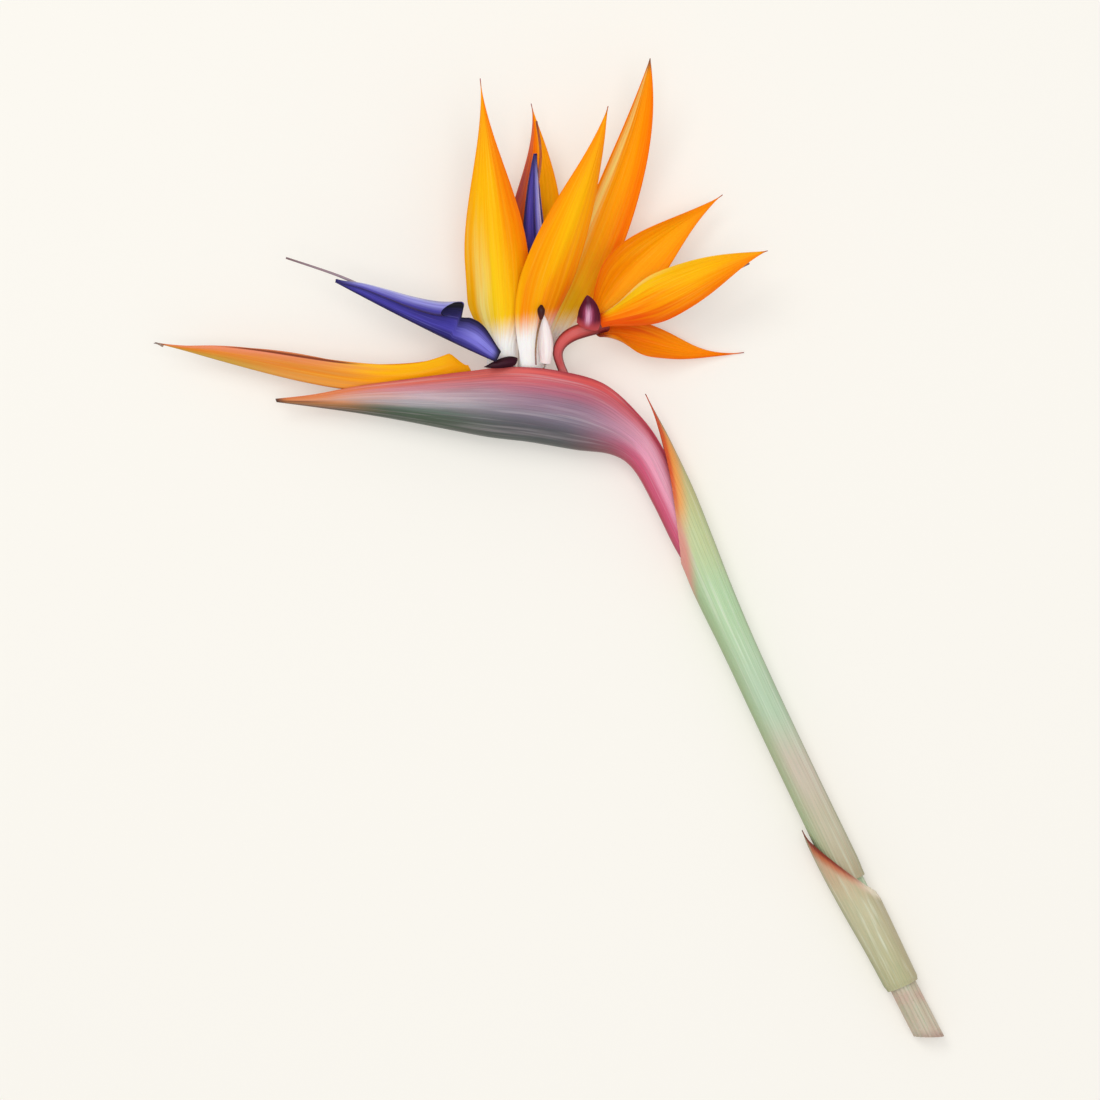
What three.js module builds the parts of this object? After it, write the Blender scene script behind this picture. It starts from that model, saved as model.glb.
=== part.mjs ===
// A cut bird of paradise flower, lying on its side: a stem with two clasping sheaths, the boat-shaped
// spathe, and four florets that rise out of it with their orange sepals and blue arrow petals.
// Millimetres, +Z up. Seen from above, +X is right and +Y is up the flower.
import * as THREE from "three";

// Driving dimensions
const STEM_LENGTH = 180; // from the cut to the neck of the spathe
const STEM_RADIUS = { cut: 4.9, neck: 3.8, inNeck: 2, end: 1.3 };
const SHEATH_WALL = 0.8;
const SPATHE_WALL = 1.4;
const PETAL = 0.8; // thickness of a sepal or petal
const FLORET_RADIUS = 3.3; // under the sepals' claws
const MIDDLE = new THREE.Vector2(15.15, -66.14); // the middle of the whole outline, seen from above

// The stem's axis: from the neck down to the cut it bows slightly and sinks to the surface.
const NECK = new THREE.Vector3(69, -73.7, 10.05);
const STEM_UP = new THREE.Vector3(-0.41, 0.912, 0).normalize();
const STEM_SIDE = new THREE.Vector3(STEM_UP.y, -STEM_UP.x, 0);
const STEM_BOW = 5;
const STEM_DROP = 5;
const CUT_SLANT = 0.45; // how far the cut runs down the stem for each millimetre across it

const vec = (p) => new THREE.Vector3(...p);
const mix = (a, b, share) => a + (b - a) * share;
const smooth = (x) => THREE.MathUtils.smoothstep(x, 0, 1);

// Value at t (0 to 1) of a list of evenly spaced values, joined by a smooth curve.
function along(values, t) {
  const curve = new THREE.SplineCurve(values.map((v, i) => new THREE.Vector2(i, v)));
  return curve.getPoint(t).y;
}

function axisPoint(s) {
  const down = Math.min(s, 0) / STEM_LENGTH;
  const point = NECK.clone().addScaledVector(STEM_UP, s);
  point.addScaledVector(STEM_SIDE, STEM_BOW * down * down);
  point.z -= STEM_DROP * down * down;
  return point;
}

// Closed solids from grids and rings of points

// Triangles to a geometry, each corner a Vector3.
function geometryOf(triangles) {
  const corners = triangles.flat();
  const positions = new Float32Array(corners.length * 3);
  corners.forEach((p, i) => p.toArray(positions, i * 3));
  const geometry = new THREE.BufferGeometry();
  geometry.setAttribute("position", new THREE.BufferAttribute(positions, 3));
  geometry.computeVertexNormals();
  return geometry;
}

// A thin solid between two grids of points, over[row][column] and under[row][column], which face
// each other. has(row, column) says which cells are there. A wrapped grid closes on itself.
function sheet(over, under, { has = () => true, wrap = false } = {}) {
  const rows = over.length - 1;
  const columns = wrap ? over[0].length : over[0].length - 1;
  const next = (j) => (wrap ? (j + 1) % columns : j + 1);
  const there = (i, j) => {
    if (i < 0 || i >= rows) return false;
    if (wrap) return has(i, (j + columns) % columns);
    return j >= 0 && j < columns && has(i, j);
  };
  const triangles = [];
  const quad = (a, b, c, d) => triangles.push([a, b, c], [a, c, d]);
  for (let i = 0; i < rows; i++) {
    for (let j = 0; j < columns; j++) {
      if (!there(i, j)) continue;
      const k = next(j);
      const [a, b, c, d] = [over[i][j], over[i + 1][j], over[i + 1][k], over[i][k]];
      const [e, f, g, h] = [under[i][j], under[i + 1][j], under[i + 1][k], under[i][k]];
      triangles.push([a, b, c], [a, c, d], [g, f, e], [h, g, e]);
      if (!there(i - 1, j)) quad(a, d, h, e);
      if (!there(i + 1, j)) quad(b, f, g, c);
      if (!there(i, j - 1)) quad(a, e, f, b);
      if (!there(i, j + 1)) quad(d, c, g, h);
    }
  }
  return geometryOf(triangles);
}

// A solid through rings of points, closed by a fan at both ends.
function loft(rings) {
  const triangles = [];
  const sides = rings[0].length;
  rings.slice(1).forEach((ring, i) => {
    for (let j = 0; j < sides; j++) {
      const k = (j + 1) % sides;
      const before = rings[i];
      triangles.push([before[j], before[k], ring[k]], [before[j], ring[k], ring[j]]);
    }
  });
  for (const [ring, first] of [[rings[0], true], [rings.at(-1), false]]) {
    const middle = ring.reduce((sum, p) => sum.add(p), new THREE.Vector3()).divideScalar(sides);
    for (let j = 0; j < sides; j++) {
      const k = (j + 1) % sides;
      triangles.push(first ? [middle, ring[k], ring[j]] : [middle, ring[j], ring[k]]);
    }
  }
  return geometryOf(triangles);
}

// A round body along a smooth line through points, its radius following a list of values.
function roundBody(points, radii, { sides = 8, steps = 12 } = {}) {
  const curve = new THREE.CatmullRomCurve3(points.map(vec));
  const rings = [];
  for (let i = 0; i <= steps; i++) {
    const t = i / steps;
    rings.push(ringAround(curve.getPoint(t), curve.getTangent(t), along(radii, t), sides));
  }
  return loft(rings);
}

function ringAround(centre, direction, radius, sides) {
  const across = new THREE.Vector3(0, 0, 1).cross(direction).normalize();
  const up = direction.clone().cross(across);
  return Array.from({ length: sides }, (_, j) => {
    const angle = ((j + 0.5) / sides) * 2 * Math.PI;
    const out = across.clone().multiplyScalar(Math.cos(angle)).addScaledVector(up, Math.sin(angle));
    return centre.clone().addScaledVector(out, radius);
  });
}

// Stem and sheaths

// The stem, with its slanted cut, and the stalk inside the spathe on which the florets sit.
const STALK_IN_SPATHE = [
  [63.2, -63.2, 10.2], [56, -47.6, 10.7], [48.7, -33.4, 11.2], [38, -26, 11.5],
  [22, -24, 11.6], [6, -22.6, 11.6], [-9, -21.2, 11.6],
];

function stem() {
  const sides = 12;
  const rings = [];
  const down = [-STEM_LENGTH, -165, -140, -115, -90, -65, -40, -20, -5];
  for (const s of down) {
    const radius = mix(STEM_RADIUS.neck, STEM_RADIUS.cut, Math.min(1, -s / STEM_LENGTH));
    const ring = ringAround(axisPoint(s), STEM_UP, radius, sides);
    if (s === -STEM_LENGTH) {
      for (const p of ring) {
        const out = p.clone().sub(axisPoint(s)).dot(STEM_SIDE);
        p.addScaledVector(STEM_UP, -CUT_SLANT * out);
      }
    }
    rings.push(ring);
  }
  const inside = [axisPoint(-2.5), axisPoint(0), ...STALK_IN_SPATHE.map(vec)];
  const curve = new THREE.CatmullRomCurve3(inside);
  const steps = 16;
  for (let i = 0; i <= steps; i++) {
    const t = i / steps;
    const radius = mix(STEM_RADIUS.inNeck, STEM_RADIUS.end, t);
    rings.push(ringAround(curve.getPoint(t), curve.getTangent(t), radius, sides));
  }
  return loft(rings);
}

const MOUTH_CURVE = 1.1; // over 1 keeps the sheath's mouth low until closer to its point
const SPIKE_WIDTH = 0.2; // of the point itself, in radians

// A clasping sheath: a tube round the stem whose mouth is cut away on one side and drawn out into a
// point on the other. turn is where its point is, as an angle from the stem's right-hand side;
// inner and aside list the hollow's radius and how far it stands off towards the point, from the
// foot to the point.
function sheath({ foot, low, tip, turn, inner, aside, spike, rows = 14, columns = 18 }) {
  const [outside, within] = [[], []];
  for (let i = 0; i <= rows; i++) {
    const ring = { inner: [], outer: [] };
    for (let j = 0; j < columns; j++) {
      const angle = (j / columns) * 2 * Math.PI;
      const away = Math.min(angle, 2 * Math.PI - angle);
      const drawn = ((1 + Math.cos(angle)) / 2) ** MOUTH_CURVE;
      const mouth = mix(low, tip, drawn) + spike * Math.exp(-away / SPIKE_WIDTH);
      const s = mix(foot, mouth, i / rows);
      const share = Math.min(1, (s - foot) / (tip + spike - foot));
      const out = STEM_SIDE.clone().multiplyScalar(Math.cos(angle + turn));
      out.z = Math.sin(angle + turn);
      const middle = axisPoint(s).addScaledVector(STEM_SIDE, Math.cos(turn) * along(aside, share));
      ring.inner.push(middle.clone().addScaledVector(out, along(inner, share)));
      ring.outer.push(middle.addScaledVector(out, along(inner, share) + SHEATH_WALL));
    }
    outside.push(ring.outer);
    within.push(ring.inner);
  }
  return sheet(outside, within, { wrap: true });
}

const UPPER_SHEATH = {
  foot: -119, low: 6, tip: 58, turn: 0, spike: 7,
  inner: [5.15, 5.15, 5.1, 5.1, 5.1, 5.25, 5.8, 6.35, 6.4, 5.4, 4.6],
  aside: [0, 0, 0, 0, 0, 0, 0, 0.4, 1.1, 1.7, 1.8],
};
const LOWER_SHEATH = {
  foot: -160, low: -126, tip: -100, turn: Math.PI, spike: 4, rows: 8,
  inner: [5.3, 5.7, 6.3, 6.6, 6.6], aside: [0, 0, 0.3, 0.6, 0.6],
};

// Spathe

// Stations from the stem to the tip: the keel and the upper edge, seen from above; half the width;
// half the gap between the two upper edges; and the height of the middle.
const SPATHE = {
  keelX: [65.3, 58.9, 51.2, 44, 36.5, 24, 8, -6, -20, -36, -52, -67, -80],
  keelY: [-75.9, -66, -50.5, -38, -33, -31.3, -28.6, -26.9, -24.3, -21.2, -18.5, -16.4, -14.7],
  edgeX: [73.1, 67.2, 60.8, 54.3, 46.5, 34, 18, 2, -14, -32, -50, -67, -80.4],
  edgeY: [-72.4, -61.2, -45.2, -30.5, -19.5, -8.5, -4, -2.7, -4.2, -6.5, -8.9, -12, -13.5],
  half: [4.3, 4.7, 5.2, 6.3, 8.3, 10.8, 12.1, 12.1, 10.6, 7.6, 4.8, 2.4, 1.1],
  gap: [0.6, 0.5, 0.5, 0.6, 1.2, 3.6, 7.3, 7.3, 4.6, 4, 3.1, 1.6, 0.4],
  middle: [9.9, 10.2, 10.7, 11.2, 11.5, 11.6, 11.6, 11.6, 11.5, 11.2, 10.9, 10.6, 10.4],
};

// How far out the side stands, as a share of the half width, from the keel (0) to the edge (1).
function belly(v, edge) {
  const round = Math.sin(Math.PI * v ** 0.85) ** 0.75;
  return v > 0.5 ? Math.max(round, mix(1, edge, smooth((v - 0.5) * 2))) : round;
}

// A point of the spathe's wall: u runs from one edge (-1) over the keel (0) to the other edge (1).
function spathePoint(t, u, inside) {
  const at = (name) => along(SPATHE[name], t);
  const keel = new THREE.Vector2(at("keelX"), at("keelY"));
  const edge = new THREE.Vector2(at("edgeX"), at("edgeY"));
  const depth = keel.distanceTo(edge);
  const half = at("half");
  const wall = Math.min(SPATHE_WALL, half * 0.45);
  const gap = at("gap");
  const v = Math.abs(u);
  const start = inside ? Math.min(wall * 1.3, depth * 0.45) / depth : 0;
  const from = mix(start, 1, v);
  const full = inside ? half - wall : half;
  const rim = inside ? gap : gap + Math.min(0.9, wall);
  const out = Math.sign(u) * full * belly(v, Math.min(1, rim / full));
  const point = keel.lerp(edge, from);
  return new THREE.Vector3(point.x, point.y, Math.max(0, at("middle") + out));
}

function spathe() {
  const rows = 30;
  const half = 8;
  const grid = (inside) =>
    Array.from({ length: rows + 1 }, (_, i) =>
      Array.from({ length: 2 * half + 1 }, (_, j) => spathePoint(i / rows, j / half - 1, inside)),
    );
  return sheet(grid(true), grid(false));
}

// Sepals and petals

// Half width of a blade as a share of its widest: a narrow claw up to the shoulder, the widest from
// peak to hold, and a drawn-out tip.
function lanceolate(t, { claw, shoulder = 0, peak, hold = peak, point }) {
  if (t < peak) return mix(claw, 1, smooth((t - shoulder) / (peak - shoulder)));
  const s = Math.max(0, (t - hold) / (1 - hold));
  return (1 - s) ** point * (1 + point * s);
}

// A blade's frame at t: a point of its middle line, the way across, and the way its hollow looks.
function frameAt(line, t, towards) {
  const curve = new THREE.CubicBezierCurve3(...line.map(vec));
  const run = curve.getTangent(t);
  const hollow = towards.clone().addScaledVector(run, -towards.dot(run)).normalize();
  return { centre: curve.getPoint(t), across: run.clone().cross(hollow), hollow };
}

const NARROWEST = 0.5; // half width of a blade's tip
const TWIST_END = 0.45; // where along a blade its hollow has turned from rootHollow to hollow
const CLAW_END = 0.3; // where along a blade its claw has opened out
const TIP = 0.8; // where along a blade its fold starts to flatten towards the tip
const TIP_FOLD = 0.4; // how much of the fold is left there
const CLAW_CUP = 0.87; // of a claw, which wraps round the floret's tube
const FOLD_ROOM = 0.3; // least share of its width that a fold stays open by on its hollow side

// A blade bends up from its keel by `fold` at once and by `cup` more towards its margins.
function bladeGrid(blade, side, rows, half) {
  const grid = [];
  for (let i = 0; i <= rows; i++) {
    const t = i / rows;
    const towards = vec(blade.rootHollow).lerp(vec(blade.hollow), smooth(t / TWIST_END));
    const { centre, across, hollow } = frameAt(blade.line, t, towards);
    const width = Math.max(NARROWEST, blade.half * lanceolate(t, blade));
    const open = smooth(t / CLAW_END);
    const left = mix(1, TIP_FOLD, smooth((t - TIP) / (1 - TIP)));
    const fold = left * mix(blade.rootFold ?? 0, blade.fold, open);
    const cup = mix(blade.rootCup ?? CLAW_CUP, blade.cup, open);
    const row = [];
    for (let j = -half; j <= half; j++) {
      const a = Math.abs(j) / half;
      const lean = j === 0 ? 0 : fold + cup * a;
      const sideways = (width / cup) * (Math.sin(fold + cup * a) - Math.sin(fold));
      const rise = (width / cup) * (Math.cos(fold) - Math.cos(fold + cup * a));
      const mitred = j === 0 && side < 0;
      const thick = mitred ? PETAL / 2 / Math.cos(Math.min(fold, 0.9)) : PETAL / 2;
      const inwards = Math.min(side * thick * Math.sin(lean), (1 - FOLD_ROOM) * sideways);
      const out = Math.sign(j) * (sideways - inwards);
      const up = rise + side * thick * Math.cos(lean);
      row.push(centre.clone().addScaledVector(across, out).addScaledVector(hollow, up));
    }
    grid.push(row);
  }
  return grid;
}

function bladeSolid(blade, rows = 14, half = 3) {
  return sheet(bladeGrid(blade, -1, rows, half), bladeGrid(blade, 1, rows, half));
}

const ORDINARY = { claw: 0.36, peak: 0.34, point: 1.7, fold: 0.28, cup: 0.45 };

// line: root, two handles and tip. rootHollow and hollow: which way the hollow side looks at the
// root and further out. half: the widest half width, measured flat.
const SEPALS = {
  // rear floret
  sepal_1_upper: {
    ...ORDINARY, line: [[31, 14.5, 14.1], [38, 31, 12], [58, 45, 11], [75.3, 57.6, 9]],
    rootHollow: [0, -0.56, 0.83], hollow: [0.1, -0.2, 0.97], half: 11.5, claw: 0.3, peak: 0.3,
    point: 1.75,
  },
  sepal_1_near: {
    ...ORDINARY, line: [[32.5, 13.6, 20.6], [45, 17, 25], [68, 31, 31], [90, 36.7, 34]],
    rootHollow: [0, -0.35, -0.94], hollow: [0, -0.2, -0.98], half: 9.7, claw: 0.3, peak: 0.42,
    point: 1.35,
  },
  sepal_1_lower: {
    ...ORDINARY, line: [[31.5, 8.7, 15.6], [43, 9.5, 9], [60, -0.5, 2.2], [83, 3, 0.6]],
    rootHollow: [0, 0.85, 0.53], hollow: [0, 0.35, 0.93], half: 7.2, claw: 0.7, point: 2,
  },
  // middle floret
  sepal_2_left: {
    ...ORDINARY, line: [[4.2, -4, 12.5], [4.6, 24, 3], [16, 58, 8], [8.6, 88.6, 18]],
    rootHollow: [1, 0, 0], hollow: [0, 0, 1], half: 10.3, peak: 0.5, fold: 0.2, cup: 0.35,
  },
  sepal_2_near: {
    ...ORDINARY, line: [[10.4, -4, 16.4], [7, 22, 27], [27, 50, 41], [35, 85.6, 45]],
    rootHollow: [-0.5, 0, -0.87], hollow: [-0.15, 0.1, -0.98], half: 10.3, claw: 0.5, peak: 0.38,
    point: 1.35,
  },
  sepal_2_right: {
    ...ORDINARY, line: [[10.6, -4, 8.8], [18, 15, 2], [44, 62, 6.5], [49.7, 103.4, 28]],
    rootHollow: [-0.5, 0, 0.87], hollow: [0.3, 0, 0.95], half: 9.8, peak: 0.5, point: 1,
  },
  // front floret
  sepal_3_near: {
    ...ORDINARY, line: [[-1.8, -4, 16.9], [-1.2, 16, 24.4], [-5.5, 62, 36], [-8.8, 95.6, 38]],
    rootHollow: [0, 0, -1], hollow: [0, 0.1, -1], half: 12.6, claw: 0.44, shoulder: 0.1, peak: 0.3,
    hold: 0.42, point: 2,
  },
  sepal_3_left: {
    ...ORDINARY, line: [[-5.9, -4, 10.4], [-5.5, 22, 6], [-9, 50, 3], [-8, 74, 2.4]],
    rootHollow: [0.87, 0, 0.5], hollow: [0, 0.05, 1], half: 7, claw: 0.45, shoulder: 0.14, peak: 0.45,
  },
  sepal_3_right: {
    ...ORDINARY, line: [[1.2, -4, 10.4], [-0.8, 16, 9], [-8.5, 46, 17], [-6, 70, 17]],
    rootHollow: [-0.87, 0, 0.5], hollow: [0, 0, 1], half: 4.4, claw: 0.7,
  },
  // newest floret, its sepal still lying forward along the spathe
  sepal_4_near: {
    line: [[-12, -4.3, 12.2], [-43, -20.4, 12.2], [-84, -3.2, 12.2], [-122.15, 6, 12]],
    rootHollow: [0.1, 1, 0], hollow: [0.1, 1, 0.05], half: 9.8, claw: 0.3, peak: 0.05, hold: 0.5,
    point: 1.3, rootFold: 1.25, fold: 1.3, rootCup: 0.25, cup: 0.2,
  },
};

// The hood-like third petal at the foot of a floret.
const HOODS = {
  hood_1: {
    line: [[27.8, 10.6, 21.2], [28.6, 13.8, 25], [28.7, 17.8, 26.8], [28, 21.8, 26]],
    rootHollow: [0.1, 0, -1], hollow: [0.1, 0, -1], half: 4.6, claw: 0.9, peak: 0.2, point: 0.75,
    fold: 0.25, rootCup: 0.6, cup: 0.6,
  },
  hood_2: {
    line: [[13.6, -1.5, 20.6], [14.4, 4, 23.4], [13.6, 11, 25.6], [12, 16.8, 26.4]],
    rootHollow: [-0.1, 0, -1], hollow: [-0.1, 0, -1], half: 2.9, claw: 0.7, peak: 0.3, point: 1.1,
    fold: 0.15, cup: 0.8,
  },
  hood_3: {
    line: [[3.4, -1.2, 20.6], [1.4, -0.2, 22.2], [-3, -2.2, 23], [-7.6, -2.8, 22.2]],
    rootHollow: [0, 0, -1], hollow: [0, 0, -1], half: 2.2, claw: 0.8, peak: 0.3, point: 1,
    fold: 0.2, cup: 0.8,
  },
};

// Blue arrows

// An arrow is two petals joined along a keel. From its claw the wings widen into a lobe, up to
// `lobe` of the wing. In front of it are the barbs, whose upper edges roll outwards into a tube with
// `roll` as its radius. taper lists what is left of the wing at even steps from there to the tip.
// The style lies in the groove between the wings and runs on past the tip to the stigma.
const ARROWS = {
  arrow_1: {
    line: [[-3.4, -1, 24.2], [-19.6, 5.9, 26.2], [-39.6, 16.2, 25.6], [-59, 26.6, 24.4]],
    hollow: [0.45, 0.89, 0], wing: 13.2, lobe: 0.82, taper: [1, 0.7, 0.51, 0.38, 0.23, 0], roll: 2.9,
    stigma: [-75.9, 34.7, 25.4],
  },
  arrow_2: {
    line: [[7.2, 4.2, 14.5], [4.2, 25, 15.9], [5, 50, 18.5], [9.7, 71, 21.8]],
    hollow: [1, 0, 0.1], wing: 10.7, lobe: 0.56, taper: [1, 0.82, 0.63, 0.44, 0.23, 0], roll: 1.6,
    stigma: [10.5, 82, 23],
  },
  arrow_3: {
    line: [[35.3, 12.8, 18.8], [50, 16.6, 22.3], [62, 22, 24], [78, 30, 24]],
    hollow: [0.1, 0.1, -1], wing: 6, lobe: 0.8, taper: [1, 0.8, 0.6, 0.4, 0.2, 0], roll: 1.1,
    stigma: [84, 33, 22],
  },
};
const BARB = 0.32; // where along the arrow the barbs end
const BARB_SLANT = 0.09; // how much further on the roll's outermost side ends
const ROLL_END = 0.84; // where along the arrow its edges are flat again
const WING_ANGLE = 0.42; // of each wing from the arrow's middle plane
const CLAW_HEIGHT = 3.2; // of a wing at the arrow's root
const TIP_HEIGHT = 1.1; // of a wing at its tip
const TIP_ROLL = 0.8; // radius of the roll there
const STYLE_START = 0.2; // where along the arrow the style comes up from the claw
const STYLE_RISE = [3.1, 3.1, 3.1, 3.1, 2.3]; // of the style above the keel, from there to the tip
const STYLE_RADII = [0.5, 0.5, 0.5, 0.5, 0.45, 0.35];

const WING_STEPS = 3; // facets from the keel to where a wing rolls
const ROLL_STEPS = 5; // facets of the roll
const ROLL_TURN = 0.85; // of each of them

// A point of the arrow's section at t: out along the wing by a share of its height, and then round
// the roll by `turn`. Given across and above the keel line.
function arrowSection({ wing, lobe, taper, roll }, t, share, turn, side) {
  const head = Math.min(1, (1 - t) / (1 - BARB));
  const behind = mix(CLAW_HEIGHT, wing * lobe, smooth((t + 0.06) / 0.28));
  const height = t < BARB ? behind : mix(TIP_HEIGHT, wing, along(taper, 1 - head));
  const radius = mix(TIP_ROLL, roll, head);
  const [leanX, leanY] = [Math.sin(WING_ANGLE), Math.cos(WING_ANGLE)];
  const rolled = WING_ANGLE + turn;
  const x = share * height * leanX + radius * (leanY - Math.cos(rolled));
  const y = share * height * leanY + radius * (Math.sin(rolled) - leanX);
  const face = share ? rolled : Math.PI / 2;
  const thick = (side * PETAL) / 2;
  const inwards = Math.min(thick * Math.cos(face), (1 - FOLD_ROOM) * x);
  return { across: x - inwards, above: y + thick * Math.sin(face) };
}

function arrow(spec) {
  const stops = [0, 0.05, 0.1, 0.15, 0.22, BARB, 0.4, 0.5, 0.6, 0.7, 0.78, ROLL_END, 1];
  const half = WING_STEPS + ROLL_STEPS;
  const grid = (side) =>
    stops.map((stop) =>
      Array.from({ length: 2 * half + 1 }, (_, column) => {
        const j = Math.abs(column - half);
        const turn = Math.max(0, j - WING_STEPS) * ROLL_TURN;
        const start = BARB + (BARB_SLANT * (1 - Math.cos(turn))) / 2;
        const t = stop < BARB ? stop : mix(start, 1, (stop - BARB) / (1 - BARB));
        const { across, above } = arrowSection(spec, t, Math.min(1, j / WING_STEPS), turn, side);
        const frame = frameAt(spec.line, t, vec(spec.hollow));
        const out = Math.sign(column - half) * across;
        return frame.centre.addScaledVector(frame.across, out).addScaledVector(frame.hollow, above);
      }),
    );
  const isRolled = (i) => stops[i] >= BARB && stops[i] < ROLL_END;
  const has = (i, j) => isRolled(i) || (j >= ROLL_STEPS && j < 2 * half - ROLL_STEPS);
  return sheet(grid(-1), grid(1), { has });
}

function style(spec) {
  const points = STYLE_RISE.map((rise, i) => {
    const t = mix(STYLE_START, 1, i / (STYLE_RISE.length - 1));
    const { centre, hollow } = frameAt(spec.line, t, vec(spec.hollow));
    return centre.addScaledVector(hollow, rise).toArray();
  });
  return roundBody([...points, spec.stigma], STYLE_RADII, { sides: 6, steps: 12 });
}

// Floret tubes

const TUBES = {
  floret_tube_1: {
    points: [
      [31.5, -21.7, 11.6], [24, -13, 11.6], [19.6, -4, 13], [18, 3.2, 16.4], [22.8, 8.6, 17.4],
      [34.5, 12.2, 17.4],
    ],
    radii: [1.4, 3, 1.5, 1.8, 2.4, 2.6],
  },
  floret_tube_2: {
    points: [[14, -21, 11.6], [10, -11, 12], [8.5, -4, 12.5], [8.5, 0, 12.5], [8.5, 3.5, 12.5]],
    radii: [1.4, 2.9, FLORET_RADIUS, 3, 1.4],
  },
  floret_tube_3: {
    points: [[2, -19.8, 11.6], [-1.6, -11, 12], [-2.4, -4, 12.5], [-2.4, 0, 12.5], [-2.4, 3.5, 12.5]],
    radii: [1.4, 2.9, FLORET_RADIUS, 3, 1.4],
  },
  floret_tube_4: {
    points: [[-9.5, -19.3, 11.6], [-12, -14, 11.6], [-13.9, -10.8, 12], [-15.3, -7.3, 12.2]],
    radii: [1.4, 2.4, 2.2, 1.4],
  },
};

// The whole flower

const COLOURS = {
  stem: { color: "#b9d2b4", roughness: 0.55 },
  sheath: { color: "#b9c79a", roughness: 0.5 },
  spathe: { color: "#a48d94", roughness: 0.5 },
  sepal: { color: "#fb9d12", roughness: 0.5 },
  arrow: { color: "#4a3f95", roughness: 0.45 },
  tube: { color: "#f1d9cf", roughness: 0.5 },
  redTube: { color: "#b54a45", roughness: 0.5 },
  hood: { color: "#6e3238", roughness: 0.5 },
  paleHood: { color: "#ecc9bf", roughness: 0.5 },
  darkHood: { color: "#2e2233", roughness: 0.5 },
  style: { color: "#b9a6a2", roughness: 0.6 },
};
const HOOD_LOOK = { hood_1: "hood", hood_2: "paleHood", hood_3: "darkHood" };
const materials = Object.fromEntries(
  Object.entries(COLOURS).map(([name, look]) => [
    name,
    new THREE.MeshStandardMaterial({ ...look, metalness: 0 }),
  ]),
);

const flower = new THREE.Group();

function add(name, geometry, material) {
  const mesh = new THREE.Mesh(geometry, materials[material]);
  mesh.name = name;
  mesh.position.set(-MIDDLE.x, -MIDDLE.y, 0);
  flower.add(mesh);
}

add("stem", stem(), "stem");
add("sheath_upper", sheath(UPPER_SHEATH), "sheath");
add("sheath_lower", sheath(LOWER_SHEATH), "sheath");
add("spathe", spathe(), "spathe");
for (const [name, blade] of Object.entries(SEPALS)) add(name, bladeSolid(blade), "sepal");
for (const [name, blade] of Object.entries(HOODS)) {
  add(name, bladeSolid(blade, 8, 2), HOOD_LOOK[name]);
}
for (const [name, spec] of Object.entries(ARROWS)) {
  add(name, arrow(spec), "arrow");
  add(name.replace("arrow", "style"), style(spec), "style");
}
for (const [name, { points, radii }] of Object.entries(TUBES)) {
  add(name, roundBody(points, radii, { steps: 14 }), name === "floret_tube_1" ? "redTube" : "tube");
}

export default flower;
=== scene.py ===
import bpy
import math
import numpy as np
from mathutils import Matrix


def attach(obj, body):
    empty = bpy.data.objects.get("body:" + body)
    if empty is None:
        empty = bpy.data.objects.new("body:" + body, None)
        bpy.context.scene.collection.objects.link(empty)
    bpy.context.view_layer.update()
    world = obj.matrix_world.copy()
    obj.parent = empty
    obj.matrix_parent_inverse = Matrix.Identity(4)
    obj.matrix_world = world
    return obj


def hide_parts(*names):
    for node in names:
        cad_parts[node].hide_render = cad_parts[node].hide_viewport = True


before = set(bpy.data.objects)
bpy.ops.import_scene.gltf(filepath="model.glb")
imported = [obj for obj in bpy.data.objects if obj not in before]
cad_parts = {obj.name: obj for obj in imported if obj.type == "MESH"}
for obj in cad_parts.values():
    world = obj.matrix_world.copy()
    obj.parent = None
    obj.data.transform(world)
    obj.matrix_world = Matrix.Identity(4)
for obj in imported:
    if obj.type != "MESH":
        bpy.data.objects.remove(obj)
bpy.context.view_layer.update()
print("frame loaded:", len(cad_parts), "nodes")

# Shapes are worked out in millimetres in a drawing frame of their own, and moved into the CAD
# frame when their mesh is made.
middle = np.array([15.15, -66.14, 0.0])  # of the flower's outline, seen from above
mm = 0.001
skyward = np.array([0, 0, 1.0])


def smooth(x):
    x = np.clip(x, 0, 1)
    return x * x * (3 - 2 * x)


def mix(a, b, share):
    return a + (b - a) * share


def unit(v):
    return v / np.linalg.norm(v, axis=-1, keepdims=True)


# A smooth curve through evenly spaced values or points, read at t from 0 to 1.
def along(values, t):
    v = np.asarray(values, float)
    last = len(v) - 1
    at = np.clip(np.asarray(t, float), 0, 1) * last
    i = np.minimum(at.astype(int), last - 1)
    w = at - i
    if v.ndim > 1:
        w = w[..., None]
    a, b, c, d = (v[np.clip(i + k, 0, last)] for k in (-1, 0, 1, 2))
    bend = (2 * a - 5 * b + 4 * c - d) * w**2 + (3 * b - a - 3 * c + d) * w**3
    return b + 0.5 * ((c - a) * w + bend)


# A curve from its first point to its last with two handles between, and the way it runs.
def bezier(line, t):
    a, b, c, d = (np.array(p, float) for p in line)
    t = t[..., None]
    s = 1 - t
    point = s**3 * a + 3 * s**2 * t * b + 3 * s * t**2 * c + t**3 * d
    run = s**2 * (b - a) + 2 * s * t * (c - b) + t**2 * (d - c)
    return point, unit(run)


# The way across a blade and the way its hollow looks, square to the way it runs.
def squareTo(run, towards):
    towards = np.asarray(towards, float) + 0 * run
    hollow = unit(towards - run * (run * towards).sum(-1, keepdims=True))
    return np.cross(run, hollow), hollow


def roundAngles(sides):
    return np.arange(sides) / sides * 2 * np.pi


# The ways out of a round body's axis, one for each angle.
def spokes(angle, side, up):
    return np.cos(angle)[:, None] * side + np.sin(angle)[:, None] * up


def ringPlaces(angle, t):
    return np.stack([angle / np.pi - 1, np.full(len(angle), t), 0 * angle], 1)


def newObject(name, data):
    made = bpy.data.objects.new(name, data)
    bpy.context.scene.collection.objects.link(made)
    return made


def setInputs(node, values):
    for name, value in values.items():
        node.inputs[name].default_value = value


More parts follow.
